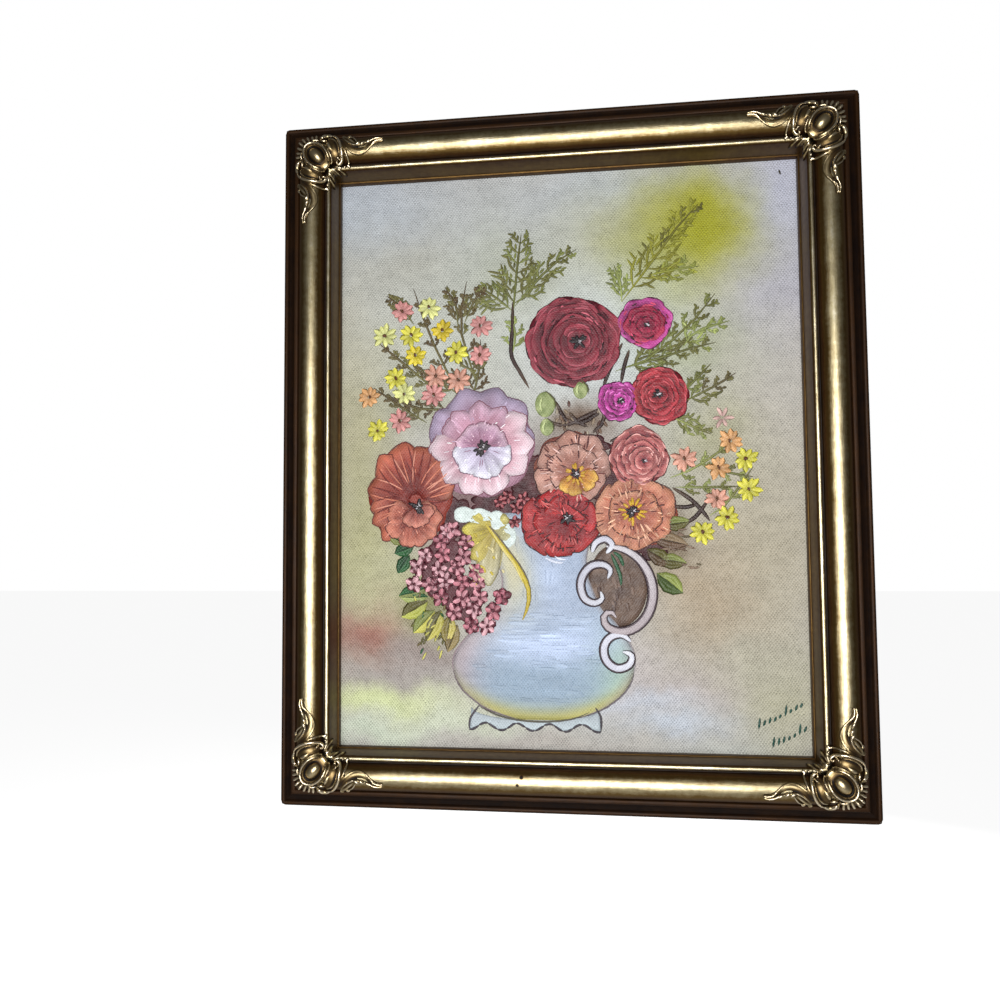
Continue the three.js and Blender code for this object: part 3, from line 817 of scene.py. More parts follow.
def dome(centre, half, tilt, base, height):
    """A closed oval dome with a round underside."""
    spine = [(centre[0], centre[1], base + height * math.sin(math.radians(a)))
             for a in np.linspace(-88, 88, DOME_RINGS)]
    points = []
    for i, (x, y, h) in enumerate(spine):
        share = math.cos(math.radians(-88 + 176 * i / (DOME_RINGS - 1)))
        for j in range(DOME_SIDES):
            spot = oval_point((x, y), (half[0] * share, half[1] * share), tilt, 360 * j / DOME_SIDES)
            points.append((*spot, h))
    return points, band_faces(DOME_RINGS, DOME_SIDES)


def closed_ring(centre, half, tilt, thickness, height, rise, level=0.5):
    """A ring of round section, draped and lifted like the strokes."""
    points = []
    for i in range(RING_STEPS):
        angle = 360 * i / RING_STEPS
        for j in range(RING_SIDES):
            a = 2 * math.pi * j / RING_SIDES
            grow_by = thickness * math.cos(a)
            spot = oval_point(centre, (half[0] + grow_by, half[1] + grow_by), tilt, angle)
            core = oval_point(centre, half, tilt, angle)
            h = seat_height(*core) * (1 - level) + CLUSTER_LEVEL * level + rise
            points.append((*spot, h + height * math.sin(a)))
    return points, band_faces(RING_STEPS, RING_SIDES, capped=False)


print("points in a dome:", DOME_RINGS * DOME_SIDES, "in a ring:", RING_STEPS * RING_SIDES)

# %% [markdown]
# The boss and the fan of flutes
#
# The oval boss stands on a low bed inside two rings, over the mitre, and is tilted a little.
# Ten flutes spread round it towards the outer corner: each starts under the outer ring, dips,
# and ends in a thick round head on the moulding.

# %% Draw the boss, its rings and the flutes
BOSS_CENTRE = (17.5, 17.5)
BOSS_TILT = 48
BOSS_HALF = (4.4, 3.05)
RING_HALF = (6.15, 4.55)
BOSS_BASE = seat_height(*BOSS_CENTRE) + 0.3
FLUTE_ANGLES = (-55, -42, -30, -18, -6, 6, 18, 30, 42, 55)
FLUTE_REACH = 10.2
FLUTE_ROOT = 17.6


def boss_forms():
    """The oval boss, the bed that it stands on, and its two rings."""
    return [
        dome(BOSS_CENTRE, BOSS_HALF, BOSS_TILT, BOSS_BASE - 0.1, 3.6),
        dome(BOSS_CENTRE, RING_HALF, BOSS_TILT, 17.1, 1.2),
        closed_ring(BOSS_CENTRE, (5.0, 3.55), BOSS_TILT, 0.3, 0.5, 1.2, 0.8),
        closed_ring(BOSS_CENTRE, RING_HALF, BOSS_TILT, 0.6, 1.0, 1.2),
    ]


def flute_forms():
    """The fan of flutes round the outer corner, each a short club with a thick head."""
    forms = []
    for off_axis in FLUTE_ANGLES:
        a = math.radians(225 + off_axis)
        from_axis = a - math.radians(BOSS_TILT)
        root = 1 / math.hypot(math.cos(from_axis) / RING_HALF[0], math.sin(from_axis) / RING_HALF[1])
        root -= 0.9
        reach = FLUTE_REACH - 0.012 * abs(off_axis)
        share = np.linspace(0, 1, 12)
        r = root + (reach - root) * share
        u, v = BOSS_CENTRE[0] + r * math.cos(a), BOSS_CENTRE[1] + r * math.sin(a)
        head = (seat_height(u[-1], v[-1]) + FLUTE_ROOT) / 2 + 0.8
        h = FLUTE_ROOT + (head - FLUTE_ROOT) * share - 0.5 * np.sin(np.pi * share)
        forms.append(tube(np.column_stack([u, v, h]), headed(0.92), headed(1.6), sides=10))
    return forms


boss_and_flutes = [*boss_forms(), *flute_forms()]
print("forms at the boss:", len(boss_and_flutes))

# %% [markdown]
# The arms of the ornament
#
# The lists below are the drawing. Each line of an arm is a path in (u, v), how far it rises,
# how strongly it is lifted towards the cluster, its width, its height and how it swells. The
# second arm is the first one with u and v changed over, and so are the ribs of the palmette.

# %% Draw the arms and the ribs on the wall
ARM = [
    # the C scroll: a thick start, its rim, and a second line inside it
    ([(19.6, 9.9), (20.6, 8.7), (22.4, 8.3), (24.3, 8.9)], 1.0, 0.5, 0.95, 1.2, rounded),
    ([(23.0, 8.5), (25.4, 9.3), (27.3, 11.4), (28.5, 14.2), (28.9, 17.0), (28.5, 19.6),
      (27.3, 21.2), (26.0, 21.6)], 0.9, 0.5, 0.74, 1.35, rounded),
    ([(22.6, 9.9), (24.9, 10.7), (26.6, 12.6), (27.4, 15.0), (27.5, 17.4)], 0.6, 0.5, 0.42, 0.95,
     rounded),
    # the dished leaf inside the scroll, with a rib along it
    ([(22.6, 10.4), (23.9, 13.4), (25.2, 16.6), (26.0, 19.4)], 0.1, 0.45, 2.7, 1.2, rounded),
    ([(22.3, 12.1), (23.3, 14.0), (24.6, 16.0)], 0.9, 0.45, 0.9, 0.9, rounded),
    # the scroll's eye and the crescent round it
    ([(25.6, 19.9), (26.2, 20.2), (26.7, 20.4)], 1.6, 0.3, 0.95, 1.2, rounded),
    ([(26.0, 18.4), (27.0, 18.8), (27.7, 19.9), (27.4, 21.0)], 1.3, 0.3, 0.36, 0.8, rounded),
    # the line that leaves the ring and runs into the palmette
    ([(20.4, 12.4), (22.2, 14.4), (23.6, 17.0), (24.1, 19.2), (23.6, 21.0)], 0.9, 0.55, 0.42,
     1.1, rounded),
    # short bars over the ring, towards the outer corner
    ([(15.1, 11.3), (16.7, 10.7), (18.7, 10.9)], 0.7, 0.6, 0.52, 1.0, rounded),
    ([(14.1, 12.9), (15.8, 12.2), (17.8, 11.9)], 0.8, 0.7, 0.4, 0.9, rounded),
    ([(19.4, 11.3), (20.8, 11.5), (22.3, 11.2)], 0.9, 0.6, 0.55, 1.0, rounded),
    # the leaf edge outside the scroll
    ([(28.2, 12.2), (29.6, 14.6), (30.6, 17.4), (30.9, 20.0), (30.2, 21.6)], 0.35, 0.15, 0.55,
     1.0, rounded),
    # the spray: its body, an upper ridge, a lower ridge, and three notched lobes
    ([(28.0, 10.2), (30.2, 13.0), (33.0, 15.2), (36.0, 16.1), (39.2, 15.6), (41.6, 14.1),
      (44.2, 13.1), (47.1, 13.4)], -0.1, 0.0, 2.1, 1.2, tailed),
    ([(28.6, 9.4), (30.8, 11.9), (33.4, 13.7), (36.0, 14.2), (38.6, 13.6), (41.0, 12.6),
      (43.6, 11.9), (46.7, 12.1)], 0.55, 0.0, 0.62, 1.0, tailed),
    ([(28.6, 11.9), (30.4, 14.6), (33.2, 16.9), (36.4, 17.6), (39.4, 16.6), (41.6, 14.8),
      (44.0, 13.5), (46.9, 13.1)], 0.35, 0.0, 0.55, 0.9, tailed),
    ([(34.9, 14.4), (36.0, 13.6), (37.1, 12.9)], 0.9, 0.0, 0.62, 0.85, rounded),
    ([(37.0, 14.4), (38.0, 13.7), (38.9, 12.9)], 0.9, 0.0, 0.55, 0.8, rounded),
    ([(39.7, 13.6), (40.7, 12.8), (41.5, 12.2)], 0.8, 0.0, 0.5, 0.7, rounded),
    # the small curling leaf above the spray, with its two round heads
    ([(28.2, 9.0), (30.6, 10.3), (33.2, 12.1), (36.0, 14.3)], 0.35, 0.0, 1.15, 1.0, tailed),
    ([(28.2, 9.0), (29.0, 8.6), (29.8, 8.7)], 0.9, 0.0, 0.8, 0.8, rounded),
    ([(30.9, 9.5), (31.8, 9.2), (32.5, 9.6)], 0.8, 0.0, 0.7, 0.75, rounded),
    ([(31.8, 9.4), (33.6, 10.3), (35.0, 12.0), (35.9, 13.6)], 0.5, 0.0, 0.35, 0.7, rounded),
    # the double line that the spray's tail ends in
    ([(40.4, 13.6), (42.2, 12.2), (44.4, 11.5), (46.9, 11.8)], 0.65, 0.0, 0.42, 0.8, rounded),
    ([(41.6, 14.4), (43.4, 13.0), (45.2, 12.5), (47.0, 12.7)], 0.5, 0.0, 0.36, 0.7, rounded),
    # the palmette's long rib over the bead, and two pearls on the bead
    ([(22.4, 19.8), (24.0, 20.6), (25.8, 21.5), (27.6, 21.9)], 0.7, 0.0, 0.62, 1.0, headed),
    ([(28.3, 21.4), (28.9, 21.4), (29.5, 21.4)], 0.35, 0.0, 0.6, 0.7, rounded),
    ([(30.4, 21.4), (31.0, 21.4), (31.6, 21.4)], 0.35, 0.0, 0.72, 0.7, rounded),
]


def arm_forms(swap):
    forms = []
    for path, rise, level, width, height, swell in ARM:
        spots = [spot[::-1] for spot in path] if swap else path
        count = max(12, 6 * len(path))
        forms.append(tube(drape(spots, rise, level, count), swell(width), swell(height)))
    return forms


WALL_RIBS = [
    # paths in (u, v, h) down the inner wall, each with its relief direction and its width
    ([(21.0, 21.0, 15.4), (22.0, 22.0, 15.0), (22.7, 22.7, 13.0), (22.9, 22.9, 9.4)],
     (0.7, 0.7, 0.35), 0.85),
    ([(22.8, 21.4, 14.6), (24.2, 22.2, 14.3), (25.2, 22.8, 12.2), (25.8, 22.9, 8.8)],
     (0.1, 0.9, 0.4), 0.8),
    ([(24.4, 21.4, 14.4), (26.4, 22.2, 14.0), (27.8, 22.8, 11.8), (28.4, 22.9, 8.8)],
     (0.1, 0.9, 0.4), 0.7),
    ([(22.2, 21.8, 15.0), (23.2, 22.4, 14.4), (23.9, 22.8, 12.4), (24.2, 22.9, 9.8)],
     (0.2, 0.9, 0.4), 0.55),
]


def wall_forms():
    """The palmette's ribs, which run over the bead and down the inner walls at the mitre."""
    forms = []
    for path, up, width in WALL_RIBS:
        for order in ((0, 1, 2), (1, 0, 2)):
            spots = spline(path, 24)[:, order]
            turned_up = [up[i] for i in order]
            forms.append(tube(spots, headed(width), headed(1.2), up=turned_up))
    return forms


forms = [*boss_and_flutes, *arm_forms(False), *arm_forms(True), *wall_forms()]
print("forms:", len(forms))

# %% [markdown]
# Melting, cutting and wearing the casting
#
# The voxel size sets the finest line that survives: 0.24 mm keeps lines of half a millimetre.
# The cutter is the moulding's own section along both arms. Wear is measured last: the height
# of every point is averaged over its neighbours again and again, and a point that stands above
# that average is rubbed bright, while one that lies below it keeps its wax.

# %% Melt and wear one casting
VOXEL = 0.24
SEAT_LENGTH = 60
WEAR_PASSES = 45
WEAR_DEPTH = 0.62


def merged(forms):
    """The points and faces of many closed forms, as one list each."""
    points = []
    faces = []
    for form_points, form_faces in forms:
        start = len(points)
        points.extend(form_points)
        faces.extend(tuple(start + i for i in face) for face in form_faces)
    return points, faces


def seat_mesh(swap):
    """The moulding's section along one arm, from beyond the mitre to past the ornament."""
    outline = [(-0.05, -1.0), *FACE[1:], (RAIL_WIDTH, -1.0)]
    points = []
    for end in (0, 1):
        for d, h in outline:
            across = RAIL_WIDTH - d
            along = SEAT_LENGTH if end else across
            points.append((across, along, h) if swap else (along, across, h))
    mesh = mesh_of("seat", points, band_faces(2, len(outline)))
    face_outwards(mesh)
    return mesh


def neighbour_average(mesh, values, passes):
    """Averages a value over the mesh's edges again and again."""
    edges = np.zeros(2 * len(mesh.edges), int)
    mesh.edges.foreach_get("vertices", edges)
    a, b = edges.reshape(-1, 2).T
    count = np.bincount(a, minlength=len(values)) + np.bincount(b, minlength=len(values))
    smooth = values.copy()
    for _ in range(passes):
        total = np.bincount(a, smooth[b], len(values)) + np.bincount(b, smooth[a], len(values))
        smooth = total / np.maximum(count, 1)
    return smooth


def coordinates(mesh):
    flat = np.zeros(3 * len(mesh.vertices), np.float64)
    mesh.vertices.foreach_get("co", flat)
    return flat.reshape(-1, 3)


def add_values(mesh, name, values):
    """Stores one number for each point."""
    made = mesh.attributes.new(name, "FLOAT", "POINT")
    made.data.foreach_set("value", np.asarray(values, np.float32))


def smooth_all(mesh):
    mesh.polygons.foreach_set("use_smooth", [True] * len(mesh.polygons))


casting_mesh = mesh_of("casting", *merged(forms))
face_outwards(casting_mesh)
casting = show("casting", casting_mesh)
melt = casting.modifiers.new("melt", "REMESH")
melt.mode = "VOXEL"
melt.voxel_size = VOXEL
soften = casting.modifiers.new("soften", "SMOOTH")
soften.factor = 0.5
soften.iterations = 2
applied(casting)
for swap in (False, True):
    cut(casting, seat_mesh(swap), "MANIFOLD")
casting_mesh = casting.data
spots = coordinates(casting_mesh)
relief = spots[:, 2] - neighbour_average(casting_mesh, spots[:, 2], WEAR_PASSES)
add_values(casting_mesh, "rub", np.clip(0.5 + relief / WEAR_DEPTH * 0.6, 0, 1))
smooth_all(casting_mesh)
print("casting:", triangles(casting_mesh), "triangles, highest", round(spots[:, 2].max(), 2), "mm")

# %% [markdown]
# Four from one
#
# The real ornaments come out of moulds, a right-handed and a left-handed one. So the finished
# mesh is copied, mirrored where it has to be, and moved from corner space into the frame.

# %% Lay the castings on the corners
CORNERS = {"top_left": (-1, 1), "top_right": (1, 1), "bottom_left": (-1, -1),
           "bottom_right": (1, -1)}
corners = {}
for name, (side_x, side_z) in CORNERS.items():
    mesh = casting_mesh.copy()
    placed = np.column_stack([
        side_x * (OUTER_HALF_WIDTH - spots[:, 0]),
        PAINT_Y - spots[:, 2],
        CENTRE_Z + side_z * (OUTER_HALF_HEIGHT - spots[:, 1]),
    ]) * MM
    mesh.vertices.foreach_set("co", placed.ravel())
    dress(mesh, gilt_casting)
    if side_x * side_z < 0:
        mesh.flip_normals()
    mesh.update()
    corners["corner_" + name] = show("ornament_" + name, mesh)
bpy.data.objects.remove(casting)
print("castings:", len(corners))

# %% [markdown]
# Canvas weave
#
# A canvas panel is cotton cloth glued over board. Its threads show through thin paint as rows
# of small bumps. Where two sine waves are multiplied, every other crossing stands up, as the
# threads of a plain weave do, and a slow noise bends the rows a little, so that they aren't
# ruled. A mesh that fine would need millions of faces, so the threads are height in the
# material. Thick paint fills the weave, and for that the group has a strength.

# %% The weave group
THREADS_ACROSS, THREADS_DOWN = 0.64, 0.8

WEAVE, given, result = new_group("Canvas weave", {"Vector": None, "Strength": 1.0}, Height=FLOAT)
cloth_at = bent = given["Vector"]
for scale, detail, reach in ((60.0, 2.0, 0.0024), (460.0, 1.0, 0.0011)):
    shift = clouds_at(cloth_at, scale, detail, output="Color")
    bent = place(WEAVE, "VectorMath", {0: shift, 1: (reach, reach, reach), 2: bent},
                 operation="MULTIPLY_ADD")
axes = place(WEAVE, "SeparateXYZ", {0: bent}, None)


def thread_wave(coordinate, pitch):
    return calculate("SINE", times(coordinate, math.pi / (pitch * MM)))


crossing = times(thread_wave(axes[0], THREADS_ACROSS), thread_wave(axes[2], THREADS_DOWN))
crossing = calculate("MULTIPLY_ADD", thread_wave(axes[2], THREADS_DOWN / 2), 0.35, crossing)
slubs = scaled(clouds_at(cloth_at, 520.0), 2.4, -0.4)
wire(result, {"Height": times(times(crossing, slubs), given["Strength"])})
print("nodes:", len(WEAVE.nodes))

# %% [markdown]
# Oil paint
#
# Every stroke carries its own colour as an attribute, and its place along and across the
# brush mark. Bristles leave fine lines along the mark, so the streak group runs on those two
# numbers: it lightens and darkens the colour a little and gives the bump its ridges. Oil dries
# with a soft gloss, a bit stronger on thick paint. The weave's height scales the colour too:
# thread tops come out lighter and the gaps darker, partly paint caught on the threads and partly
# painted shade and light of the bumps.

# %% The paint finishes
WEAVE_SHADE = 0.32


def oil_paint(name, weave_strength, bristle_bump, gloss):
    """Oil paint over canvas: thin paint shows the weave, thick paint shows the bristles."""
    material, tree, shader = new_material(name)
    bristle = use_group(STREAKS, {
        "Along": attribute(tree, "along"), "Across": attribute(tree, "across"),
        "Seed": attribute(tree, "seed"), "Along scale": 0.16, "Across scale": 3.4, "Detail": 4.0})
    weave = use_group(WEAVE, {"Vector": object_coordinates(tree), "Strength": weave_strength})
    shaded = attribute(tree, "paint", "Color")
    # the second factor is the weave: painted shade in the thread gaps and painted light on the thread
    # tops, partly real paint caught on the threads
    for darkening in (scaled(bristle, bristle_bump * 0.6, 1.0 - bristle_bump * 0.3),
                      scaled(weave, WEAVE_SHADE, 1.0)):
        shaded = mix_colour(1.0, shaded, darkening, "MULTIPLY")
    height = calculate("MULTIPLY_ADD", bristle, bristle_bump, weave)
    wire(shader, {"Base Color": shaded, "Roughness": scaled(bristle, 0.3, gloss),
                  "Normal": bumped(height, 0.8, 0.00016), "Specular IOR Level": 0.42})
    return material


thin_paint = oil_paint("thin_oil_paint", 0.9, 0.3, 0.36)
film_paint = oil_paint("soft_oil_paint", 0.62, 0.55, 0.3)
thick_paint = oil_paint("thick_oil_paint", 0.45, 0.8, 0.24)

# %% [markdown]
# The painted ground
#
# The background of the picture is blended wet: washes of cream, grey, lilac and yellow-green
# that run into each other. Each wash below is an oval with a colour and a strength, in
# millimetres from the middle of the picture, x to the right and y up. The washes are laid over
# each other on a fine grid of points, with noise to break up their edges. A halo of pale paint
# was left round the flowers, and it is a wash as well.

# %% Mix the ground
GROUND = (198, 192, 176)
WASHES = [
    # x, y, half width, half height, colour, strength
    (-92, 112, 52, 40, (196, 203, 208), 0.9),
    (-30, 104, 60, 26, (196, 196, 184), 0.65),
    (-66, 84, 26, 14, (182, 174, 146), 0.5),
    (20, 118, 40, 16, (204, 210, 208), 0.7),
    (92, 108, 26, 46, (206, 206, 216), 0.9),
    (90, 66, 22, 22, (192, 188, 194), 0.7),
    (40, 92, 30, 20, (182, 178, 100), 0.9),
    (58, 98, 19, 21, (172, 168, 30), 1.0),
    (34, 72, 18, 12, (196, 194, 150), 0.6),
    (-95, 40, 20, 50, (200, 192, 160), 0.6),
    (3, 52, 31, 33, (222, 226, 216), 0.85),
    (34, 50, 30, 30, (218, 224, 214), 0.7),
    (-56, 48, 40, 32, (212, 214, 190), 0.65),
    (-30, 84, 26, 16, (204, 206, 192), 0.6),
    (-92, 12, 16, 34, (190, 182, 142), 0.8),
    (-90, -34, 18, 40, (182, 176, 122), 0.85),
    (-74, -56, 24, 26, (198, 194, 142), 0.7),
    (84, 20, 26, 40, (206, 198, 180), 0.7),
    (80, -40, 34, 50, (192, 180, 148), 0.85),
    (56, -62, 22, 26, (184, 162, 128), 0.8),
    (-88, -76, 20, 12, (168, 110, 92), 0.9),
    (-62, -86, 30, 8, (156, 138, 128), 0.75),
    (-76, -95, 34, 5, (168, 156, 148), 0.8),
    (-80, -105, 34, 7, (226, 232, 160), 0.95),
    (-52, -112, 34, 7, (222, 226, 190), 0.85),
    (-84, -119, 26, 6, (222, 232, 196), 0.8),
    (-20, -122, 40, 5, (192, 182, 166), 0.8),
    (50, -102, 30, 9, (200, 184, 172), 0.7),
    (30, -104, 26, 5, (206, 212, 214), 0.8),
    (44, -113, 24, 5, (208, 214, 216), 0.85),
    (68, -121, 24, 4, (200, 200, 186), 0.8),
    (88, -104, 20, 24, (190, 184, 148), 0.85),
    (20, -88, 18, 14, (206, 190, 186), 0.5),
    (-20, 78, 24, 18, (172, 174, 130), 0.4),
    (40, 80, 18, 16, (166, 168, 84), 0.4),
    (54, 46, 22, 14, (168, 172, 118), 0.55),
    (60, 8, 18, 18, (176, 172, 120), 0.55),
    (-64, 24, 20, 12, (160, 158, 118), 0.45),
    (6, 14, 14, 9, (108, 82, 62), 0.95),
    (-15, -9, 10, 13, (88, 48, 50), 0.97),
    (-25, -19, 15, 8, (112, 62, 68), 0.97),
    (16, -13, 9, 12, (92, 54, 46), 0.95),
    (-48, -26, 12, 12, (100, 60, 60), 0.95),
    (40, -36, 12, 12, (112, 90, 62), 0.85),
    (-58, -62, 11, 14, (126, 122, 66), 0.7),
]
WASH_WARP = 7.0
AGED = np.array((0.92, 0.935, 0.985))


def screen_noise(x, y, scale, seed=0.0):
    return noise.noise(Vector((x * scale, y * scale, seed)))


def ground_colour(x, y):
    """The blended background at a point, as a screen colour."""
    wx = x + WASH_WARP * screen_noise(x, y, 0.05, 3.1) + 2 * screen_noise(x, y, 0.3, 7.7)
    wy = y + WASH_WARP * screen_noise(x, y, 0.05, 5.9) + 2 * screen_noise(x, y, 0.3, 1.3)
    colour = np.array(GROUND, float)
    for cx, cy, half_x, half_y, wash, strength in WASHES:
        reach = ((wx - cx) / half_x) ** 2 + ((wy - cy) / half_y) ** 2
        share = strength * math.exp(-reach)
        colour = colour * (1 - share) + np.array(wash, float) * share
    return colour * AGED * (1 + 0.05 * screen_noise(x, y * 2, 0.12, 2.2))


def add_colours(mesh, name, colours):
    """Stores one linear colour for each point, from screen colours."""
    made = mesh.color_attributes.new(name, "FLOAT_COLOR", "POINT")
    values = to_linear(colours)
    made.data.foreach_set("color", np.column_stack([values, np.ones(len(values))]).ravel())


print("washes:", len(WASHES), "middle of the ground:", ground_colour(0, 0).round())

# %% [markdown]
# The board
#
# The panel is one closed shape. Its painted front is a grid fine enough to carry the washes as
# a colour at each point, and its edges are a little rounded, as glued cloth makes them. From
# the edge of the grid, rings of points go round to the back, where the canvas is turned over.

# %% The canvas board
GRID_STEP = 1.3
RELIEF = 0.7
BOARD_THICKNESS = (PANEL_BACK_Y - PAINT_Y) / RELIEF
EDGE_ROUND = 0.5
TURNOVER_WIDTH = 14.0
TURNOVER_THICKNESS = 0.36


def paint_to_room(points):
    """Picture coordinates (x, y, lift) in millimetres to the shared frame in metres."""
    p = np.asarray(points, float)
    return np.column_stack([p[:, 0], PAINT_Y - p[:, 2] * RELIEF, CENTRE_Z + p[:, 1]]) * MM


def grid_faces(columns, rows):
    """The faces of a grid of points that are numbered row by row."""
    across = columns + 1
    corners = [j * across + i for j in range(rows) for i in range(columns)]
    return [(a, a + 1, a + across + 1, a + across) for a in corners]


def grid_border(columns, rows):
    """The points round a grid, in order."""
    last = rows * (columns + 1)
    return [*range(columns), *range(columns, last + columns, columns + 1),
            *range(last + columns, last, -1), *range(last, 0, -columns - 1)]


def turned_edge(x, half, out):
    """A coordinate of the border, moved out by out, or held within the half size where out < 0."""
    edge = half - EDGE_ROUND
    if out < 0:
        return max(-edge - out, min(edge + out, x))
    return x + out * math.copysign(abs(x) >= edge - 1e-6, x)


def board_mesh():
    """The panel: a finely divided painted front, rounded edges, and a back with turned-over cloth."""
    halves = (PANEL_HALF_WIDTH, PANEL_HALF_HEIGHT)
    columns, rows = (int(2 * half / GRID_STEP) for half in halves)
    xs, ys = (np.linspace(EDGE_ROUND - half, half - EDGE_ROUND, count + 1)
              for half, count in zip(halves, (columns, rows)))
    points = []
    for j, y in enumerate(ys):
        for i, x in enumerate(xs):
            inner = 0 < i < columns and 0 < j < rows
            points.append((x, y, -0.03 + 0.03 * screen_noise(x, y, 0.4) if inner else 0.0))
    faces = grid_faces(columns, rows)
    border = grid_border(columns, rows)
    back = -BOARD_THICKNESS
    levels = [(EDGE_ROUND, -EDGE_ROUND), (EDGE_ROUND, back + 0.2),
              (EDGE_ROUND - 0.2, back - TURNOVER_THICKNESS),
              (-TURNOVER_WIDTH, back - TURNOVER_THICKNESS), (-TURNOVER_WIDTH - 0.2, back)]
    previous = border
    for out, lift in levels:
        current = list(range(len(points), len(points) + len(border)))
        for index in border:
            x, y, _ = points[index]
            fray = 0.5 * screen_noise(x, y, 1.5, 4.0) if out < -1 else 0.0
            points.append((*(turned_edge(value, half, out + fray)
                             for value, half in zip((x, y), halves)), lift))
        ends = zip(previous, current, current[1:] + current[:1], previous[1:] + previous[:1])
        faces.extend(ends)
        previous = current
    faces.append(tuple(previous))
    return mesh_of("canvas_board", paint_to_room(points), faces), points


mesh, flat_points = board_mesh()
add_colours(mesh, "paint", [ground_colour(x, y) for x, y, _ in flat_points])
add_values(mesh, "along", [x + 6 * screen_noise(x, y, 0.03, 8.0) for x, y, _ in flat_points])
add_values(mesh, "across", [0.3 * y + 6 * screen_noise(x, y, 0.03, 9.0) for x, y, _ in flat_points])
face_outwards(mesh)
canvas_board = show("canvas_board", mesh)
print("board:", triangles(mesh), "triangles")

# %% [markdown]
# The board's back
#
# From behind, a canvas panel shows grey-brown board, with a border of raw canvas that is
# turned over the edges and glued down. Both are plain, but the board has a fine fibre and the
# canvas has its weave, with painted shade in the gaps between its threads. The faces are sorted by
# where they lie.

# %% Finishes of the back
raw_canvas, tree, shader = new_material("raw_canvas")
spot = object_coordinates(tree)
weave = use_group(WEAVE, {"Vector": spot, "Strength": 1.0})
stain = clouds_at(spot, 30.0, 4.0)
# the weave's height sets the cloth's colour: painted shade in the gaps between threads, lighter thread
# tops
cloth = mix_colour(scaled(weave, 0.6, 0.5, clamp=True), linear(150, 138, 112), linear(226, 216, 190))
cloth = mix_colour(times(stain, 0.4), cloth, linear(176, 158, 122))
wire(shader, {"Base Color": cloth, "Roughness": 0.9, "Normal": bumped(weave, 0.9, 0.0002)})

grey_board, tree, shader = new_material("grey_board")
spot = object_coordinates(tree)
fibre = clouds_at(spot, 700.0, 6.0)
tone = ramp(clouds_at(spot, 22.0, 3.0), [(0.3, linear(128, 116, 98)), (0.7, linear(158, 146, 126))])
flecks = ramp(fibre, [(0.3, linear(170, 160, 148)), (0.55, 1.0)])
wire(shader, {"Base Color": mix_colour(1.0, tone, flecks, "MULTIPLY"), "Roughness": 0.88,
              "Normal": bumped(fibre, 0.4, 0.00015)})

dress(canvas_board.data, thin_paint, raw_canvas, grey_board)
for face in canvas_board.data.polygons:
    x, y, z = face.center / MM
    middle = max(abs(x) - PANEL_HALF_WIDTH, abs(z - CENTRE_Z) - PANEL_HALF_HEIGHT)
    if y < PAINT_Y + 0.2:
        face.use_smooth = True
    elif middle < -TURNOVER_WIDTH - EDGE_ROUND or len(face.vertices) > 4:
        face.material_index = 2
    else:
        face.material_index = 1
print("materials on the board:", len(canvas_board.data.materials))

# %% [markdown]
# Brush strokes
#
# A loaded brush leaves a low ridge of paint: wide and flat, round at both ends, highest in
# the middle. It follows the path of the hand, so it is a shape that follows a path, and
# Geometry Nodes can make all the strokes of a passage at once. The input is a mesh of bare
# edges, one chain for each stroke, whose points carry a half width, a colour and a seed. The
# tree turns the chains into smooth curves, sweeps a flattened circle along them with rounded
# ends, and stands the whole picture upright.

# %% The brush stroke tree
tree, given = new_geometry_tree(
    "Brush strokes", ("Body", "Sink", "Bluntness", "Paint depth", "Picture height"),
    Rings="NodeSocketInt", Sides="NodeSocketInt", Finish="NodeSocketMaterial")
BRUSH_TREE = tree
paths = place(tree, "GeometryNodeMeshToCurve", {0: given["Geometry"]})
paths = place(tree, "GeometryNodeCurveSplineType", {0: paths}, spline_type="CATMULL_ROM")
paths = place(tree, "GeometryNodeResampleCurve", {"Curve": paths, "Count": given["Rings"]})
paths = place(tree, "GeometryNodeSetCurveNormal", {0: paths}, mode="Z_UP")
spline_place = place(tree, "GeometryNodeSplineParameter", None, None)
paths = store(tree, paths, "along", times(spline_place["Length"], 1000.0))
from_middle = calculate("ABSOLUTE", scaled(spline_place["Factor"], 2.0, -1.0))
thinned = calculate("POWER", from_middle, given["Bluntness"])
half_width = place(tree, "GeometryNodeInputNamedAttribute", {"Name": "half_width"},
                   data_type="FLOAT")
breadth = times(half_width, calculate("SQRT", calculate("SUBTRACT", 1.04, thinned)))
ring = place(tree, "GeometryNodeCurvePrimitiveCircle", {"Resolution": given["Sides"], "Radius": 1.0})
at = place(tree, "GeometryNodeInputPosition")
across, high, _ = place(tree, "SeparateXYZ", {0: at}, None)
ring = store(tree, ring, "across", across)
top = times(calculate("MINIMUM", high, 0.0), given["Body"])
under = times(calculate("MAXIMUM", high, 0.0), given["Sink"])
flat = joined(tree, across, plus(top, under))
ring = place(tree, "GeometryNodeSetPosition", {"Geometry": ring, "Position": flat})
strokes_made = place(tree, "GeometryNodeCurveToMesh",
                     {"Curve": paths, "Profile Curve": ring, "Scale": breadth, "Fill Caps": True})
upright = place(tree, "GeometryNodeTransform", {
    "Geometry": strokes_made, "Rotation": (math.pi / 2, 0, 0),
    "Translation": joined(tree, 0.0, given["Paint depth"], given["Picture height"])})
end_tree(tree, smoothed(tree, upright), given["Finish"])

# %% [markdown]
# A painter's kit
#
# The picture is built the way it is painted. Each passage is a list of strokes, and a stroke
# is a path, a half width, the colours it runs through, and how high it lies. A hand is never
# quite steady, so a seeded random generator shakes the points and the colours a little. The
# flowers are generic: only their places, sizes and colours are chosen.

# %% Single strokes
dice = random.Random(1958)


def shade(colour, factor):
    return tuple(min(255.0, channel * factor) for channel in colour)


def between(first, second, share):
    return tuple(a + (b - a) * share for a, b in zip(first, second))


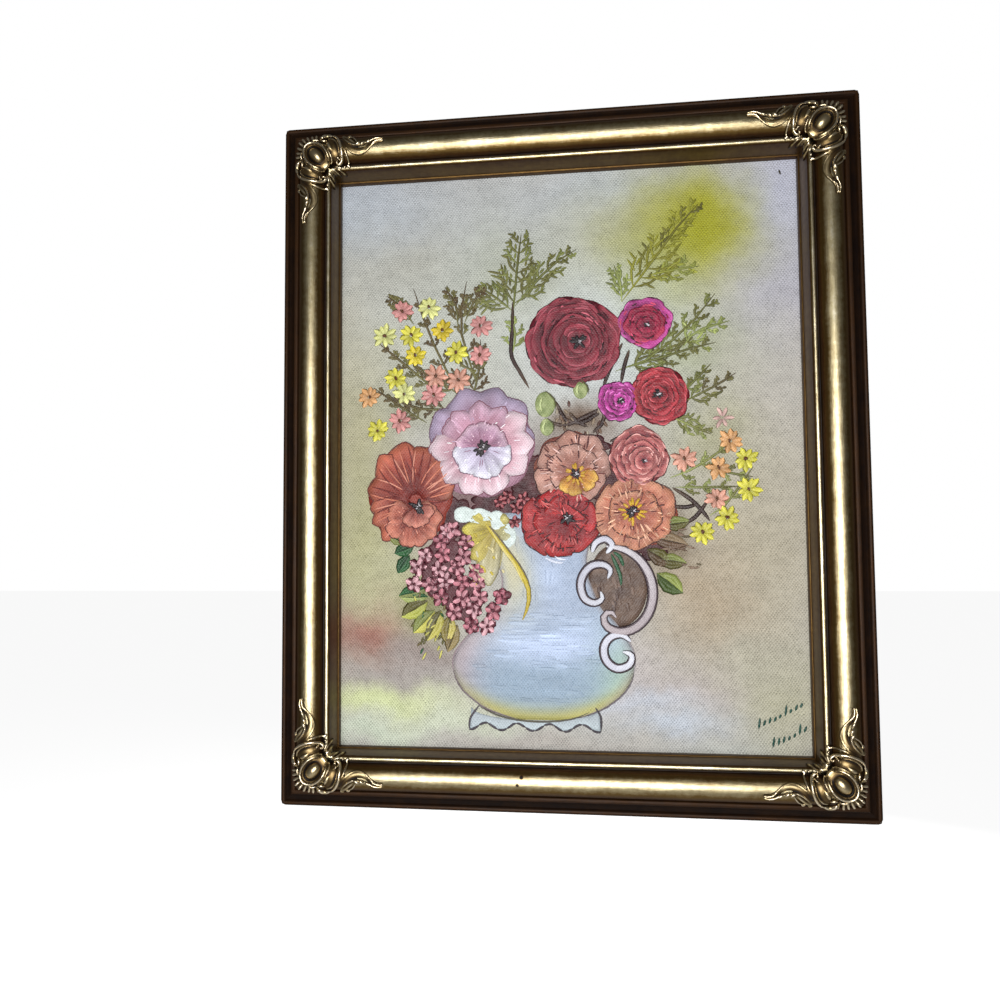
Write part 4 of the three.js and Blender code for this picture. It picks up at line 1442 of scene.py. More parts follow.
def dab(passage, path, half_width, colours, lift, shake=0.15, tone=0.06):
    """Adds one stroke. Colours is one colour or a list spread along the path."""
    if not isinstance(colours, list):
        colours = [colours]
    light = 1 + dice.uniform(-tone, tone)
    points = []
    for i, (x, y) in enumerate(path):
        place_in = i / max(1, len(path) - 1) * (len(colours) - 1)
        low = min(int(place_in), len(colours) - 1)
        high = min(low + 1, len(colours) - 1)
        colour = shade(between(colours[low], colours[high], place_in - low), light)
        points.append((x + dice.uniform(-shake, shake), y + dice.uniform(-shake, shake), colour))
    passage.append((points, half_width, lift + dice.uniform(0, 0.02), dice.uniform(0, 90)))


def strew(passage, count, box, reach, half_width, tones, lift):
    """Short dabs all over a box, given like their reach by two ends in x and two in y."""
    for _ in range(count):
        x, y = dice.uniform(*box[:2]), dice.uniform(*box[2:])
        tone = dice.choice(tones)
        end = (x + dice.uniform(*reach[:2]), y + dice.uniform(*reach[2:]))
        dab(passage, [(x, y), end], half_width, tone, lift)


def turned(at, angle, along, across):
    """A point given along and across a direction, in picture coordinates."""
    c, s = math.cos(math.radians(angle)), math.sin(math.radians(angle))
    return at[0] + along * c - across * s, at[1] + along * s + across * c


def passage_mesh(name, passage):
    """The strokes of a passage as chains of edges that carry what the brush tree reads."""
    rows = [(x * MM, y * MM, lift * RELIEF * MM, half_width * MM, seed, i, *colour)
            for stroke, half_width, lift, seed in passage for i, (x, y, colour) in enumerate(stroke)]
    table = np.array(rows)
    chained = [(k - 1, k) for k, row in enumerate(rows) if row[5]]
    mesh = mesh_of(name, table[:, :3], (), chained)
    add_values(mesh, "half_width", table[:, 3])
    add_values(mesh, "seed", table[:, 4])
    add_colours(mesh, "paint", table[:, 6:])
    return mesh


def lay(name, passage, rings=9, sides=7, body=0.22):
    """Grows a passage's strokes into real paint."""
    mesh = grow(name, passage_mesh(name, passage), BRUSH_TREE, {
        "Rings": rings, "Sides": sides, "Body": body, "Sink": 0.12, "Bluntness": 3.0,
        "Finish": thick_paint,
    })
    face_outwards(mesh)
    print(name, len(passage), "strokes,", triangles(mesh), "triangles")
    return show(name, mesh)


print("first throw of the dice:", round(random.Random(1958).random(), 3))

# %% [markdown]
# Soft layers of paint
#
# Under the strokes lie soft layers: a petal, the side of a jug, the shade between two flowers.
# Each is a thin closed shape, a little domed, whose points carry colours that are blended from
# place to place. A patch is a grid that two functions bend and colour, and an oval patch is
# rings of points from its rim to its middle. All of a passage's layers become one mesh.

# %% Patches and oval patches
patches = []
PAINT_ROOT = -0.05
OVAL_SIDES, OVAL_RINGS = 48, 7


def patch(spot_at, colour_at, lift, dome=0.3, columns=10, rows=6, size=8.0):
    """A thin closed layer of paint. Both functions take u from -1 to 1 and s from 0 to 1."""
    seed = dice.uniform(0, 90)
    grid = [(-1 + 2 * i / columns, j / rows) for j in range(rows + 1) for i in range(columns + 1)]
    points = []
    for top in (True, False):
        for u, s in grid:
            swell = (1 - u ** 4) * (0.3 + 0.7 * s) * (1 - 0.6 * max(0, s - 0.85) / 0.15)
            points.append((*spot_at(u, s), lift + dome * swell if top else PAINT_ROOT))
    under = len(grid)
    faces = grid_faces(columns, rows)
    faces += [tuple(under + i for i in reversed(face)) for face in faces]
    border = grid_border(columns, rows)
    faces += [(a, a + under, b + under, b) for a, b in zip(border, border[1:] + border[:1])]
    marks = [(s * size, u * size * 0.6, seed) for u, s in grid]
    patches.append((points, faces, [colour_at(u, s) for u, s in grid] * 2, marks * 2))


def oval_patch(at, half, colour_at, lift, dome=0.25, waves=0, depth=0.0):
    """A round layer of paint: rings of points from the rim to the middle."""
    points = []
    for level in range(OVAL_RINGS + 1):
        share = 1.0 if level == 0 else 1 - (level - 1) / OVAL_RINGS
        height = PAINT_ROOT if level == 0 else lift + dome * (1 - share ** 4)
        for i in range(OVAL_SIDES):
            a = 2 * math.pi * i / OVAL_SIDES
            r = share * (1 - depth * (1 - abs(math.cos(waves * a / 2))))
            points.append((at[0] + half[0] * r * math.cos(a), at[1] + half[1] * r * math.sin(a),
                           height))
    seed = dice.uniform(0, 90)
    patches.append((points, band_faces(OVAL_RINGS + 1, OVAL_SIDES),
                    [colour_at(x, y) for x, y, _ in points],
                    [(x * 0.7, y, seed) for x, y, _ in points]))


def cloudy(first, second, middle, reach, scale, seed=0.0):
    """A colour function for an oval patch: two colours, mixed by noise."""
    return lambda x, y: between(first, second, middle + reach * screen_noise(x, y, scale, seed))


def lay_patches(name):
    """All the layers laid since the last call, as one piece."""
    points, faces = merged([layer[:2] for layer in patches])
    mesh = mesh_of(name, paint_to_room(points), faces)
    add_colours(mesh, "paint", [tone for layer in patches for tone in layer[2]])
    marks = np.array([mark for layer in patches for mark in layer[3]])
    for column, attribute_name in enumerate(("along", "across", "seed")):
        add_values(mesh, attribute_name, marks[:, column])
    patches.clear()
    dress(mesh, film_paint)
    face_outwards(mesh)
    smooth_all(mesh)
    print(name, triangles(mesh), "triangles")
    return show(name, mesh)


print("points in an oval:", OVAL_SIDES * (OVAL_RINGS + 1))

# %% [markdown]
# Petals
#
# A painted petal is a soft patch of colour, dark at its root and light at its rim, with a dark
# line where it lies over its neighbour. Each patch is a small grid of points bent into place,
# a little domed, and closed underneath. Colours are blended from point to point, and noise
# streaks them, as paint mixed on the canvas is. Rims, dark lines and glints are strokes on top.

# %% Petals of both kinds
ROOT_WIDTH, TIP_ROUND, SIDE_SHADE = 0.35, 0.2, 0.26
TIP_LINE = (-0.95, -0.5, 0.0, 0.5, 0.95)
EYE_DARK, EYE_GLINT = (34, 26, 30), (206, 200, 206)


def petal(passage, at, angle, length, width, base, tip, lift, rim, crease, start=0.0, glints=0):
    """A fan-shaped petal. Width is half its width at the widest place."""
    seed = dice.uniform(0, 90)
    light = 1 + dice.uniform(-0.07, 0.07)
    bend = dice.uniform(-7, 7)

    def spot_at(u, s):
        wide = width * (ROOT_WIDTH + (1 - ROOT_WIDTH) * math.sin(math.pi / 2 * min(1, 1.3 * s)))
        edge = length * (1 - TIP_ROUND * u * u + 0.035 * math.sin(5 * u + seed))
        return turned(at, angle + bend * s, start + (edge - start) * s, wide * u)

    def colour_at(u, s):
        grain = screen_noise(u * 3.2 + seed, s * 1.3, 1.0, seed)
        colour = between(base, tip, min(1, max(0, s ** 1.2 + 0.35 * grain)))
        if s > 0.7:
            colour = between(colour, rim, (s - 0.7) / 0.3 * 0.85)
        return shade(colour, light * (1 - SIDE_SHADE * abs(u) ** 3) * (1 + 0.14 * grain))

    patch(spot_at, colour_at, lift, size=length)
    for u in (-1.0, 1.0):
        line = [spot_at(u * 1.03, s) for s in (0.15, 0.5, 0.9)]
        dab(passage, line, 0.32, shade(crease, 1.15), lift + 0.08)
    dab(passage, [spot_at(u, 1 + 0.1 / length) for u in TIP_LINE], 0.28, crease, lift + 0.06)
    for _ in range(glints):
        u, s = dice.uniform(-0.7, 0.7), dice.uniform(0.35, 0.85)
        line = [spot_at(u, s), spot_at(u * 1.02, s + dice.uniform(0.05, 0.13))]
        dab(passage, line, dice.uniform(0.16, 0.3), shade(rim, 1.06), lift + 0.3, tone=0.1)
    return spot_at


def arc_petal(passage, centre, squash, angle, span, inner, outer, tones, lift):
    """A rose petal seen from above: a band of an arc that rises to a light rim."""
    dark, middle, light = tones
    seed = dice.uniform(0, 90)
    bow = dice.uniform(0.08, 0.16)
    tint = 1 + dice.uniform(-0.12, 0.12)

    def spot_at(u, s):
        a = math.radians(angle + span / 2 * u)
        edge = outer * (1 - bow * u * u + 0.03 * math.sin(6 * u + seed))
        r = inner + (max(edge, inner + 0.4) - inner) * s
        return centre[0] + r * math.cos(a), centre[1] + r * squash * math.sin(a)

    def colour_at(u, s):
        grain = screen_noise(u * 2.6 + seed, s * 2.0, 1.0, seed)
        colour = between(dark, middle, min(1, max(0, s * 1.35 + 0.4 * grain)))
        if s > 0.6:
            colour = between(colour, light, (s - 0.6) / 0.4 * (0.55 + 0.5 * grain))
        return shade(colour, tint * (1 + 0.16 * grain))

    patch(spot_at, colour_at, lift, dome=0.42, size=outer)
    line = [spot_at(u, 1 + 0.15 / outer) for u in TIP_LINE]
    dab(passage, line, 0.3, shade(dark, 0.6), lift + 0.02)
    if dice.random() < 0.7:
        low = dice.uniform(-0.7, 0.1)
        line = [spot_at(u, 0.94) for u in (low, low + 0.3, low + 0.6)]
        dab(passage, line, 0.3, shade(light, 1.12), lift + 0.26, tone=0.12)


def eye(passage, at, size, lift, ring=None):
    """A flower's middle: short dark dabs, a few glints, and sometimes a yellow ring."""
    if ring:
        for k in range(13):
            a = 360 / 13 * k + dice.uniform(-12, 12)
            reach = size * dice.uniform(1.5, 2.1)
            path = [turned(at, a, size * 0.8, 0), turned(at, a, reach, dice.uniform(-0.5, 0.5))]
            dab(passage, path, 0.6, [ring, shade(ring, 0.86)], lift)
    for _ in range(14):
        a = dice.uniform(0, 360)
        reach = size * dice.uniform(0.55, 1.2)
        path = [turned(at, a, 0.1, 0), turned(at, a + dice.uniform(-20, 20), reach, 0)]
        dab(passage, path, size * 0.19, EYE_DARK, lift + 0.1)
    for _ in range(5):
        spot = turned(at, dice.uniform(0, 360), size * dice.uniform(0.0, 0.5), 0)
        path = [spot, (spot[0] + dice.uniform(0.4, 0.9), spot[1] + dice.uniform(-0.4, 0.4))]
        dab(passage, path, 0.24, EYE_GLINT, lift + 0.34)


print("petal kinds:", petal.__name__, arc_petal.__name__)

# %% [markdown]
# The blooms
#
# There are two kinds. A rose is rings of arc petals whose middles move towards its eye, so it
# looks half turned away. An open bloom is rings of fan petals round an eye. Each starts with a
# dark oval, so that no canvas shows between its petals.

# %% Roses and open blooms
SPECKLES = 90
RING_LIFT = 0.13


def rose(passage, at, size, tones, lift, rings, squash, heart, eye_size, outer_tones=None):
    """A full rose. The tones are dark, middle and light."""
    dark, middle, light = tones
    oval_patch(at, (size * 0.97, size * squash * 0.97), cloudy(dark, middle, 0.4, 0.6, 0.4),
               lift - 0.15, waves=7, depth=0.09)
    for ring in range(rings):
        inward = ring / rings
        centre = between(at, heart, min(1, inward * 1.25))
        outer = size * (1 - 0.86 * inward)
        inner = max(0.3, outer - size * 1.5 / rings)
        petals = max(3, round(7 - ring * 0.9))
        offset = dice.uniform(0, 360)
        for k in range(petals):
            reach = outer * dice.uniform(0.9, 1.06)
            angle = offset + 360 / petals * k + dice.uniform(-9, 9)
            used = outer_tones if outer_tones and ring == 0 else tones
            arc_petal(passage, centre, squash, angle, 360 / petals * 1.3, inner, reach, used,
                      lift + RING_LIFT * ring + 0.02 * (k % 3))
    for _ in range(round(5.5 * size)):
        a, r = dice.uniform(0, 360), dice.uniform(0.25, 0.93)
        sweep = dice.uniform(6, 20)
        middle_at = between(heart, at, r)
        line = []
        for step in (0, 0.5, 1):
            x, y = turned((0, 0), a + sweep * step, size * r, 0)
            line.append((middle_at[0] + x, middle_at[1] + y * squash))
        tone = dice.choice((light, shade(light, 1.22), shade(dark, 0.6), shade(dark, 0.8), middle))
        dab(passage, line, dice.uniform(0.2, 0.46), tone, lift + RING_LIFT * rings * (1.1 - r) + 0.12,
            tone=0.14)
    eye(passage, heart, eye_size, lift + RING_LIFT * rings + 0.1)


def open_bloom(passage, at, size, squash, petals, tones, lift, heart, eye_size, ring=None):
    """Two rings of mixed warm petals round an eye, seen a little from the side."""
    dark, middle, light, pale = tones
    oval_patch(at, (size, size * squash), cloudy(dark, middle, 0.5, 0.5, 0.35, 5.0),
               lift - 0.15, waves=petals, depth=0.08)
    for level, (reach, count, turn) in enumerate(((1.0, petals, 12), (0.64, petals - 2, 44))):
        for k in range(count):
            a = math.radians(turn + 360 / count * k + dice.uniform(-9, 9))
            out = reach * dice.uniform(0.93, 1.07)
            tip_x = at[0] + size * out * math.cos(a)
            tip_y = at[1] + size * squash * out * math.sin(a)
            away = math.hypot(tip_x - heart[0], tip_y - heart[1])
            facing = math.degrees(math.atan2(tip_y - heart[1], tip_x - heart[0]))
            tone = between(light, pale, dice.uniform(0, 1))
            petal(passage, heart, facing, away, size * reach * math.sin(math.pi / count) * 1.15,
                  between(dark, middle, 0.55), between(middle, light, dice.uniform(0.3, 1)),
                  lift + 0.16 * level + 0.02 * (k % 2), rim=tone, start=eye_size * 0.5,
                  crease=shade(between(dark, middle, 0.2 * level), 0.62), glints=3)
    for _ in range(SPECKLES):
        a, r = dice.uniform(0, 360), dice.uniform(0.28, 0.74)
        spot = turned(at, a, size * r * (squash if 45 < a % 180 < 135 else 1), 0)
        facing = math.degrees(math.atan2(spot[1] - heart[1], spot[0] - heart[0]))
        path = [spot, turned(spot, facing, dice.uniform(1.6, 4.2), dice.uniform(-0.9, 0.9))]
        tone = dice.choice((light, pale, middle, dark, shade(dark, 0.8), shade(pale, 1.1)))
        dab(passage, path, dice.uniform(0.18, 0.42), tone, lift + 0.34, tone=0.12)
    eye(passage, heart, eye_size, lift + 0.5, ring=ring)


print("bloom kinds:", rose.__name__, open_bloom.__name__)

# %% [markdown]
# The flowers on the left
#
# A large lilac bloom with pale front petals hangs over a red poppy that looks down, like a cup.
# The shade between all the flowers comes first, as dark ovals, and then each flower from its
# back petals to its front ones. Every second petal of a ring lies a little higher.

# %% Paint the blooms on the left
LEFT_BLOOMS = []
SHADOW_DEEP, SHADOW_SOFT = (56, 26, 30), (92, 50, 54)
for at, half in (((-15, -9), (9, 12)), ((-27, -20), (15, 6.5)), ((17, -11), (8, 12)),
                 ((-48, -26), (9, 10)), ((8, 4), (12, 6)), ((36, -36), (9, 9))):
    oval_patch(at, half, cloudy(SHADOW_DEEP, SHADOW_SOFT, 0.5, 0.8, 0.25), 0.05, dome=0.1,
               waves=7, depth=0.22)
LILAC_AT = (-36.2, 5.8)
LILAC_HEART = (-35.6, 4.0)
oval_patch(LILAC_AT, (23.6, 23.2), lambda x, y: (170, 128, 146), 0.2, waves=9, depth=0.06)
for angle, length, width in ((178, 21.5, 7.5), (146, 24.5, 9), (112, 25, 9.5), (78, 25, 9.5),
                             (44, 25.5, 9), (12, 23, 8)):
    petal(LEFT_BLOOMS, LILAC_AT, angle, length, width, (150, 108, 128), (166, 146, 172), 0.34,
          rim=(186, 172, 198), crease=(108, 80, 98), glints=3)
UPPER = (18.6, 5.6, (200, 160, 184), (222, 186, 206))
LOWER = (22.6, 6.9, (226, 194, 204), (244, 226, 234))
for k, angle in enumerate((186, 222, 256, 292, 326, 358, 30, 62, 94, 126, 156)):
    length, width, tip, rim = LOWER if angle > 180 or angle == 30 else UPPER
    petal(LEFT_BLOOMS, LILAC_AT, angle, length, width, (184, 120, 138), tip, 0.5 + 0.02 * (k % 2),
          rim=rim, crease=(134, 84, 100), glints=4)
for angles, length, width, lift, root, tip, rim, crease in (
    ((20, 56, 90, 124, 160), 11.6, 5.2, 0.66, (156, 104, 130), (198, 166, 190), (226, 192, 206),
     (130, 84, 104)),
    ((198, 232, 270, 306, 340), 13.2, 5.6, 0.7, (184, 172, 196), (216, 214, 230), (236, 234, 244),
     (128, 98, 118)),
):
    for k, angle in enumerate(angles):
        petal(LEFT_BLOOMS, LILAC_HEART, angle, length, width, root, tip, lift + 0.02 * (k % 2),
              rim=rim, start=2, crease=crease, glints=4)
eye(LEFT_BLOOMS, LILAC_HEART, 3.6, 1.0)

POPPY_AT = (-65, -18)
POPPY_DARK, POPPY, POPPY_LIGHT = (112, 38, 34), (170, 76, 58), (206, 124, 100)
oval_patch((-67.5, -16.5), (18.8, 20.5), lambda x, y: between(POPPY_DARK, POPPY, 0.5), 0.2,
           waves=8, depth=0.08)
for k, (angle, length, width) in enumerate(((186, 20, 6.5), (160, 22, 7), (134, 25, 7.5),
                                            (108, 26, 7.5), (82, 24, 7), (56, 21, 6.5),
                                            (28, 18, 5.5), (206, 21, 6), (230, 22, 6))):
    tone = between(POPPY, POPPY_LIGHT, dice.uniform(0.2, 1))
    spot_at = petal(LEFT_BLOOMS, POPPY_AT, angle, length, width, POPPY_DARK, tone,
                    0.36 + 0.03 * (k % 3), rim=shade(POPPY_LIGHT, dice.uniform(0.85, 1.05)),
                    start=2.5, crease=(92, 32, 30), glints=2)
    for u in (-0.5, 0.05, 0.55):
        line = [spot_at(u, s) for s in (0.25, 0.6, 0.93)]
        dab(LEFT_BLOOMS, line, 0.34, dice.choice((POPPY_DARK, POPPY_LIGHT, (224, 150, 128))), 0.7)
CUP_AT = (-66.5, -25.5)
for k in range(8):
    petal(LEFT_BLOOMS, CUP_AT, 150 + 34 * k, 13 if 1 < k < 7 else 11, 4.4, (122, 56, 46),
          (190, 112, 92), 0.6 + 0.02 * (k % 2), rim=(210, 140, 120), crease=(96, 38, 34), glints=2)
for angle in (236, 272, 308, 344):
    petal(LEFT_BLOOMS, (-65, -22), angle, 8.0, 3.2, (130, 62, 54), (196, 122, 106), 0.8,
          rim=(214, 146, 128), crease=(104, 44, 40))
eye(LEFT_BLOOMS, (-64, -20.5), 3.9, 1.05)
painted = [lay("painted_blooms_left", LEFT_BLOOMS), lay_patches("painted_petals_left")]

# %% [markdown]
# The flowers on the right
#
# Five roses and three open blooms, from the back of the bunch to its front. A rose's row says
# its place, its size, its dark, middle and light tones, its rings of petals, how squashed it
# looks, where its heart lies, and how large its eye is.

# %% Paint the blooms on the right
RIGHT_BLOOMS = []
ROSES = [
    ((34.4, 56.6), 11.6, ((104, 24, 54), (144, 36, 62), (178, 64, 92)), 0.4, 4, 0.92, (35.4, 55.4),
     1.5),
    ((3.6, 49.8), 20.2, ((78, 24, 36), (124, 42, 54), (160, 80, 92)), 0.4, 7, 1.02, (6.5, 49.5), 3.6),
    ((40.3, 25.0), 12.9, ((88, 20, 30), (150, 38, 48), (186, 84, 92)), 0.42, 5, 1.0, (39.6, 25.4),
     2.4),
    ((22.8, 23.4), 8.6, ((104, 20, 78), (166, 46, 132), (208, 108, 182)), 0.45, 4, 1.0, (24.0, 23.4),
     1.9),
    ((31.0, -0.8), 12.9, ((104, 38, 48), (170, 90, 88), (208, 152, 146)), 0.4, 5, 1.0, (33.5, -2.5),
     1.3),
]
MAGENTA_TONES = ((138, 38, 96), (178, 62, 136), (204, 104, 172))
for at, size, tones, lift, rings, squash, heart, eye_size in ROSES:
    outer_tones = MAGENTA_TONES if at == ROSES[0][0] else None
    rose(RIGHT_BLOOMS, at, size, tones, lift, rings, squash, heart, eye_size, outer_tones)
open_bloom(RIGHT_BLOOMS, (3.2, -4.8), 16.6, 0.95, 8,
           ((104, 52, 50), (172, 116, 98), (200, 152, 136), (224, 186, 178)), 0.5,
           heart=(4.6, -7.6), eye_size=2.6, ring=(214, 166, 52))
for angle in (226, 262, 318, 350):
    petal(RIGHT_BLOOMS, (4.6, -7.6), angle, 9.5, 3.4, (170, 108, 50), (214, 164, 66), 0.86,
          rim=(230, 190, 110), start=2.2, crease=(132, 74, 44))
open_bloom(RIGHT_BLOOMS, (29.0, -25.4), 18.0, 0.83, 8,
           ((118, 56, 50), (178, 102, 80), (200, 136, 108), (222, 172, 144)), 0.56,
           heart=(28.2, -23.8), eye_size=3.0, ring=(222, 178, 40))
open_bloom(RIGHT_BLOOMS, (-3.6, -28.6), 16.4, 0.88, 7,
           ((84, 16, 26), (148, 34, 42), (180, 54, 56), (202, 98, 96)), 0.62,
           heart=(0.6, -26.6), eye_size=3.4)
painted += [lay("painted_blooms_right", RIGHT_BLOOMS), lay_patches("painted_petals_right")]

# %% [markdown]
# The jug
#
# The jug is one large soft patch: its outline is a row of widths, as on a thrown pot, and its
# colour is light over the shoulder, blue-grey below and yellow at the bottom. Broad soft
# strokes in the jug's own colours lie half sunk in it, level on the shoulder and upright on
# the neck, and short dark strokes make its outline.

# %% The jug's body
JUG_ROWS = [
    # height, left edge, right edge
    (-111.5, -21, 1), (-109, -31, 10), (-105, -38.5, 17.5), (-100, -44.5, 23.5), (-94, -48, 27),
    (-88, -49.2, 28.2), (-82, -47, 27.4), (-76, -42, 24.6), (-71, -36, 20.6), (-66, -30.5, 16),
    (-60, -27.5, 12), (-52, -27.2, 9), (-44, -29.5, 8.4), (-36, -34, 10), (-29, -39, 13),
    (-24, -43, 14),
]
JUG_NECK, JUG_BRIGHT, JUG_BELLY = (160, 174, 196), (190, 206, 236), (146, 166, 186)
JUG_YELLOW, JUG_WARM, JUG_GREEN = (184, 176, 100), (184, 160, 162), (166, 192, 172)


def bell(value, middle, width):
    return math.exp(-((value - middle) / width) ** 2)


def jug_spot(u, s):
    heights, lefts, rights = zip(*JUG_ROWS)
    y = heights[0] + (heights[-1] - heights[0]) * s
    left = float(np.interp(y, heights, lefts))
    right = float(np.interp(y, heights, rights))
    return (left + right) / 2 + (right - left) / 2 * u, y


def jug_colour(u, s):
    x, y = jug_spot(u, s)
    colour = between(JUG_NECK, JUG_BELLY, min(1, max(0, (-66 - y) / 26)))
    streak = screen_noise(x * 0.06, y * 0.5, 1.0, 3.0)
    bright = bell(y, -76 - 4.5 * (1 - u * u), 7.5) * bell(u, 0.12, 0.75)
    colour = between(colour, JUG_BRIGHT, min(1, 1.1 * bright * (1 + 0.4 * streak)))
    colour = between(colour, JUG_BRIGHT, 0.55 * bell(y, -52, 12) * bell(u, 0.1, 0.45))
    colour = between(colour, JUG_WARM, 0.85 * bell(u, -1.02, 0.3) * bell(y, -84, 20))
    colour = between(colour, JUG_GREEN, 0.8 * bell(u, 0.92, 0.28) * bell(y, -92, 16))
    rim = 22 * math.sqrt(max(0, 1 - ((x + 10.5) / 39.5) ** 2))
    low = bell(y, -89.5 - rim, 4.6)
    colour = between(colour, JUG_YELLOW, min(1, 0.95 * low))
    colour = between(colour, (206, 198, 158), 0.9 * bell(u, -0.72, 0.42) * bell(y, -46, 20))
    colour = between(colour, (150, 146, 150), 0.65 * max(0, abs(u) - 0.86) / 0.14)
    return shade(colour, 1 + 0.07 * streak)


JUG_LIFT, JUG_DOME = 0.25, 0.35
patch(jug_spot, jug_colour, JUG_LIFT, dome=JUG_DOME, columns=40, rows=44, size=60)
JUG = []
GLAZE = []
OUTLINE = (84, 72, 78)


def on_jug(u, s):
    """The lift that lays a stroke half sunk in the jug's surface."""
    return JUG_LIFT + JUG_DOME * (1 - u ** 4) * (0.3 + 0.7 * s) - 0.05


for _ in range(46):
    u, s = dice.uniform(-0.5, 0.62), dice.uniform(0.3, 0.52)
    x, y = jug_spot(u, s)
    sag = 2.2 * u * u
    path = [(x - dice.uniform(3, 7), y + sag * 0.7), (x, y), (x + dice.uniform(3, 7), y + sag)]
    dab(GLAZE, path, dice.uniform(0.6, 1.1), shade(jug_colour(u, s), 1.03), on_jug(u, s), tone=0.04)
for _ in range(40):
    u, s = dice.uniform(-0.7, 0.75), dice.choice((dice.uniform(0.05, 0.3), dice.uniform(0.6, 0.9)))
    x, y = jug_spot(u, s)
    slope = dice.uniform(2, 5)
    path = [(x - slope, y + 0.5), (x + slope, y + dice.uniform(-0.6, 0.6))]
    if s > 0.5:
        path = [(x, y - slope), (x + dice.uniform(-0.5, 0.5), y + slope)]
    dab(GLAZE, path, dice.uniform(0.6, 1.1), jug_colour(u, s), on_jug(u, s), tone=0.03)
for u, tint in ((-1.0, (146, 128, 134)), (1.0, (140, 134, 138))):
    for first, last in ((0.0, 0.24), (0.22, 0.48), (0.46, 0.74), (0.72, 0.98)):
        line = [jug_spot(u * 1.004, s) for s in np.linspace(first, last, 6)]
        dark = between(OUTLINE, tint, 0.45) if last < 0.3 else tint
        dab(JUG, line, 0.36 if last < 0.5 else 0.28, dark, 0.2)
print("jug rows:", len(JUG_ROWS))

# %% [markdown]
# What is painted on the jug
#
# The foot is scalloped and the spout is a gold leaf on a long stem. The hole of the handle shows
# the shade behind it. Last come the scrolls in relief: each is a wide dark stroke, the white
# line on it, and a lighter ridge along its middle.

# %% The foot, the spout's leaf and the scrolls
FOOT_TOP = [(-38, -106), (-30, -109.8), (-20, -111.8), (-9, -112.2), (2, -110.8), (9, -108)]


def foot_spot(u, s):
    x = -14 + 27 * u
    low = -114.6 - 1.5 * math.cos(math.pi * (u + 1) * 4.1)
    top = -106.6 - 5.2 * math.sqrt(max(0, 1 - u * u))
    return x - 0.8 * (1 - s) * math.copysign(1, u) * -abs(u), low + (top - low) * s


patch(foot_spot, lambda u, s: between((204, 218, 224), (176, 186, 192), s + 0.3 * abs(u)), 0.2,
      dome=0.25, columns=44, rows=4, size=30)
for k in range(14):
    u = -1 + k / 7
    line = [foot_spot(min(1, u + step), 0.0) for step in (0.0, 0.05, 0.1, 0.145)]
    dab(JUG, line, 0.5, (66, 60, 68), 0.42, shake=0.1)
dab(JUG, [foot_spot(-1, 0.0), foot_spot(-1.0, 0.5), (-37.5, -105.8)], 0.44, (78, 72, 78), 0.42)
dab(JUG, [foot_spot(1, 0.0), (13.6, -110), (11.4, -105.8)], 0.48, (70, 64, 70), 0.42)
dab(JUG, FOOT_TOP, 0.4, (88, 84, 72), 0.5)

LEAF_WHITE, LEAF_GOLD = (214, 226, 222), (196, 176, 64)
for at, half in (((-43.5, -24.5), (5.2, 3.6)), ((-36.5, -25.8), (5.6, 4.2)),
                 ((-29, -27.5), (4.6, 4.8)), ((-24.5, -34), (3.4, 5.2))):
    oval_patch(at, half, lambda x, y: shade(LEAF_WHITE, 1 + 0.1 * screen_noise(x, y, 0.5)), 0.58,
               waves=3, depth=0.14)
for angle, length, width, base, tip in (
    (262, 25, 5.0, (184, 172, 116), (206, 200, 170)), (240, 17, 4.2, (160, 142, 74), (196, 182, 98)),
    (212, 14, 3.8, (164, 146, 62), (202, 188, 84)), (180, 14, 3.4, (150, 134, 62), (198, 186, 92)),
    (152, 11, 2.8, (170, 152, 60), (204, 192, 104)), (40, 7, 2.6, (180, 164, 66), (206, 198, 130)),
    (318, 9, 2.6, (170, 160, 100), (202, 200, 160)),
):
    petal(JUG, (-30.5, -30), angle, length, width, base, tip, 0.62, rim=shade(tip, 1.06),
          crease=shade(base, 0.82), glints=3)
GOLD_STEM = [(-35, -28), (-30.5, -34), (-25, -41), (-19.5, -49), (-16.2, -57), (-16.6, -64),
             (-18.6, -69.5)]
dab(JUG, [(x + 0.9, y + 0.3) for x, y in GOLD_STEM[:6]], 0.6, (110, 98, 74), 0.66)
dab(JUG, GOLD_STEM, 1.0, [LEAF_GOLD, (196, 176, 58), (176, 152, 44)], 0.7)
dab(JUG, [(-32, -31), (-27.5, -38.5), (-22, -46), (-18.4, -54)], 0.5, (216, 200, 116), 0.98)
for _ in range(16):
    x, y = dice.uniform(-44, -27), dice.uniform(-54, -32)
    if x < -27 - (y + 54) * -0.05:
        tone = dice.choice(((214, 202, 150), LEAF_GOLD, (198, 190, 160)))
        dab(JUG, [(x, y), (x + dice.uniform(0.5, 2), y - dice.uniform(1, 3))], 0.55, tone, 0.84)

oval_patch((21.5, -55), (12.4, 17.6), cloudy((88, 70, 62), (116, 94, 80), 0.5, 1.0, 0.2), 0.12)
for _ in range(26):
    a, r = dice.uniform(0, 2 * math.pi), dice.uniform(0, 0.75)
    x, y = 21.5 + 11 * r * math.cos(a), -55 + 16 * r * math.sin(a)
    tone = dice.choice(((80, 62, 56), (112, 90, 78), (98, 78, 68)))
    dab(GLAZE, [(x, y + 2), (x + 0.5, y - 2)], 0.9, tone, 0.3)
for path in ([(19, -42), (21, -46), (22.6, -51), (23, -55)], [(20, -41), (22.5, -43), (24, -47)]):
    dab(JUG, path, 0.8, (46, 92, 62), 0.66)

SCROLLS = []


def scroll(path, half_width, tones):
    """A raised white line with a dark edge round it and a lighter ridge along its middle."""
    for line, breadth, tone, lift in ((path, half_width + 0.5, OUTLINE, 0.5),
                                      (path, half_width, tones, 0.7),
                                      (path[1:-1], half_width * 0.4, shade(tones[0], 1.12), 0.9)):
        dab(SCROLLS, line, breadth, tone, lift, shake=0.05)


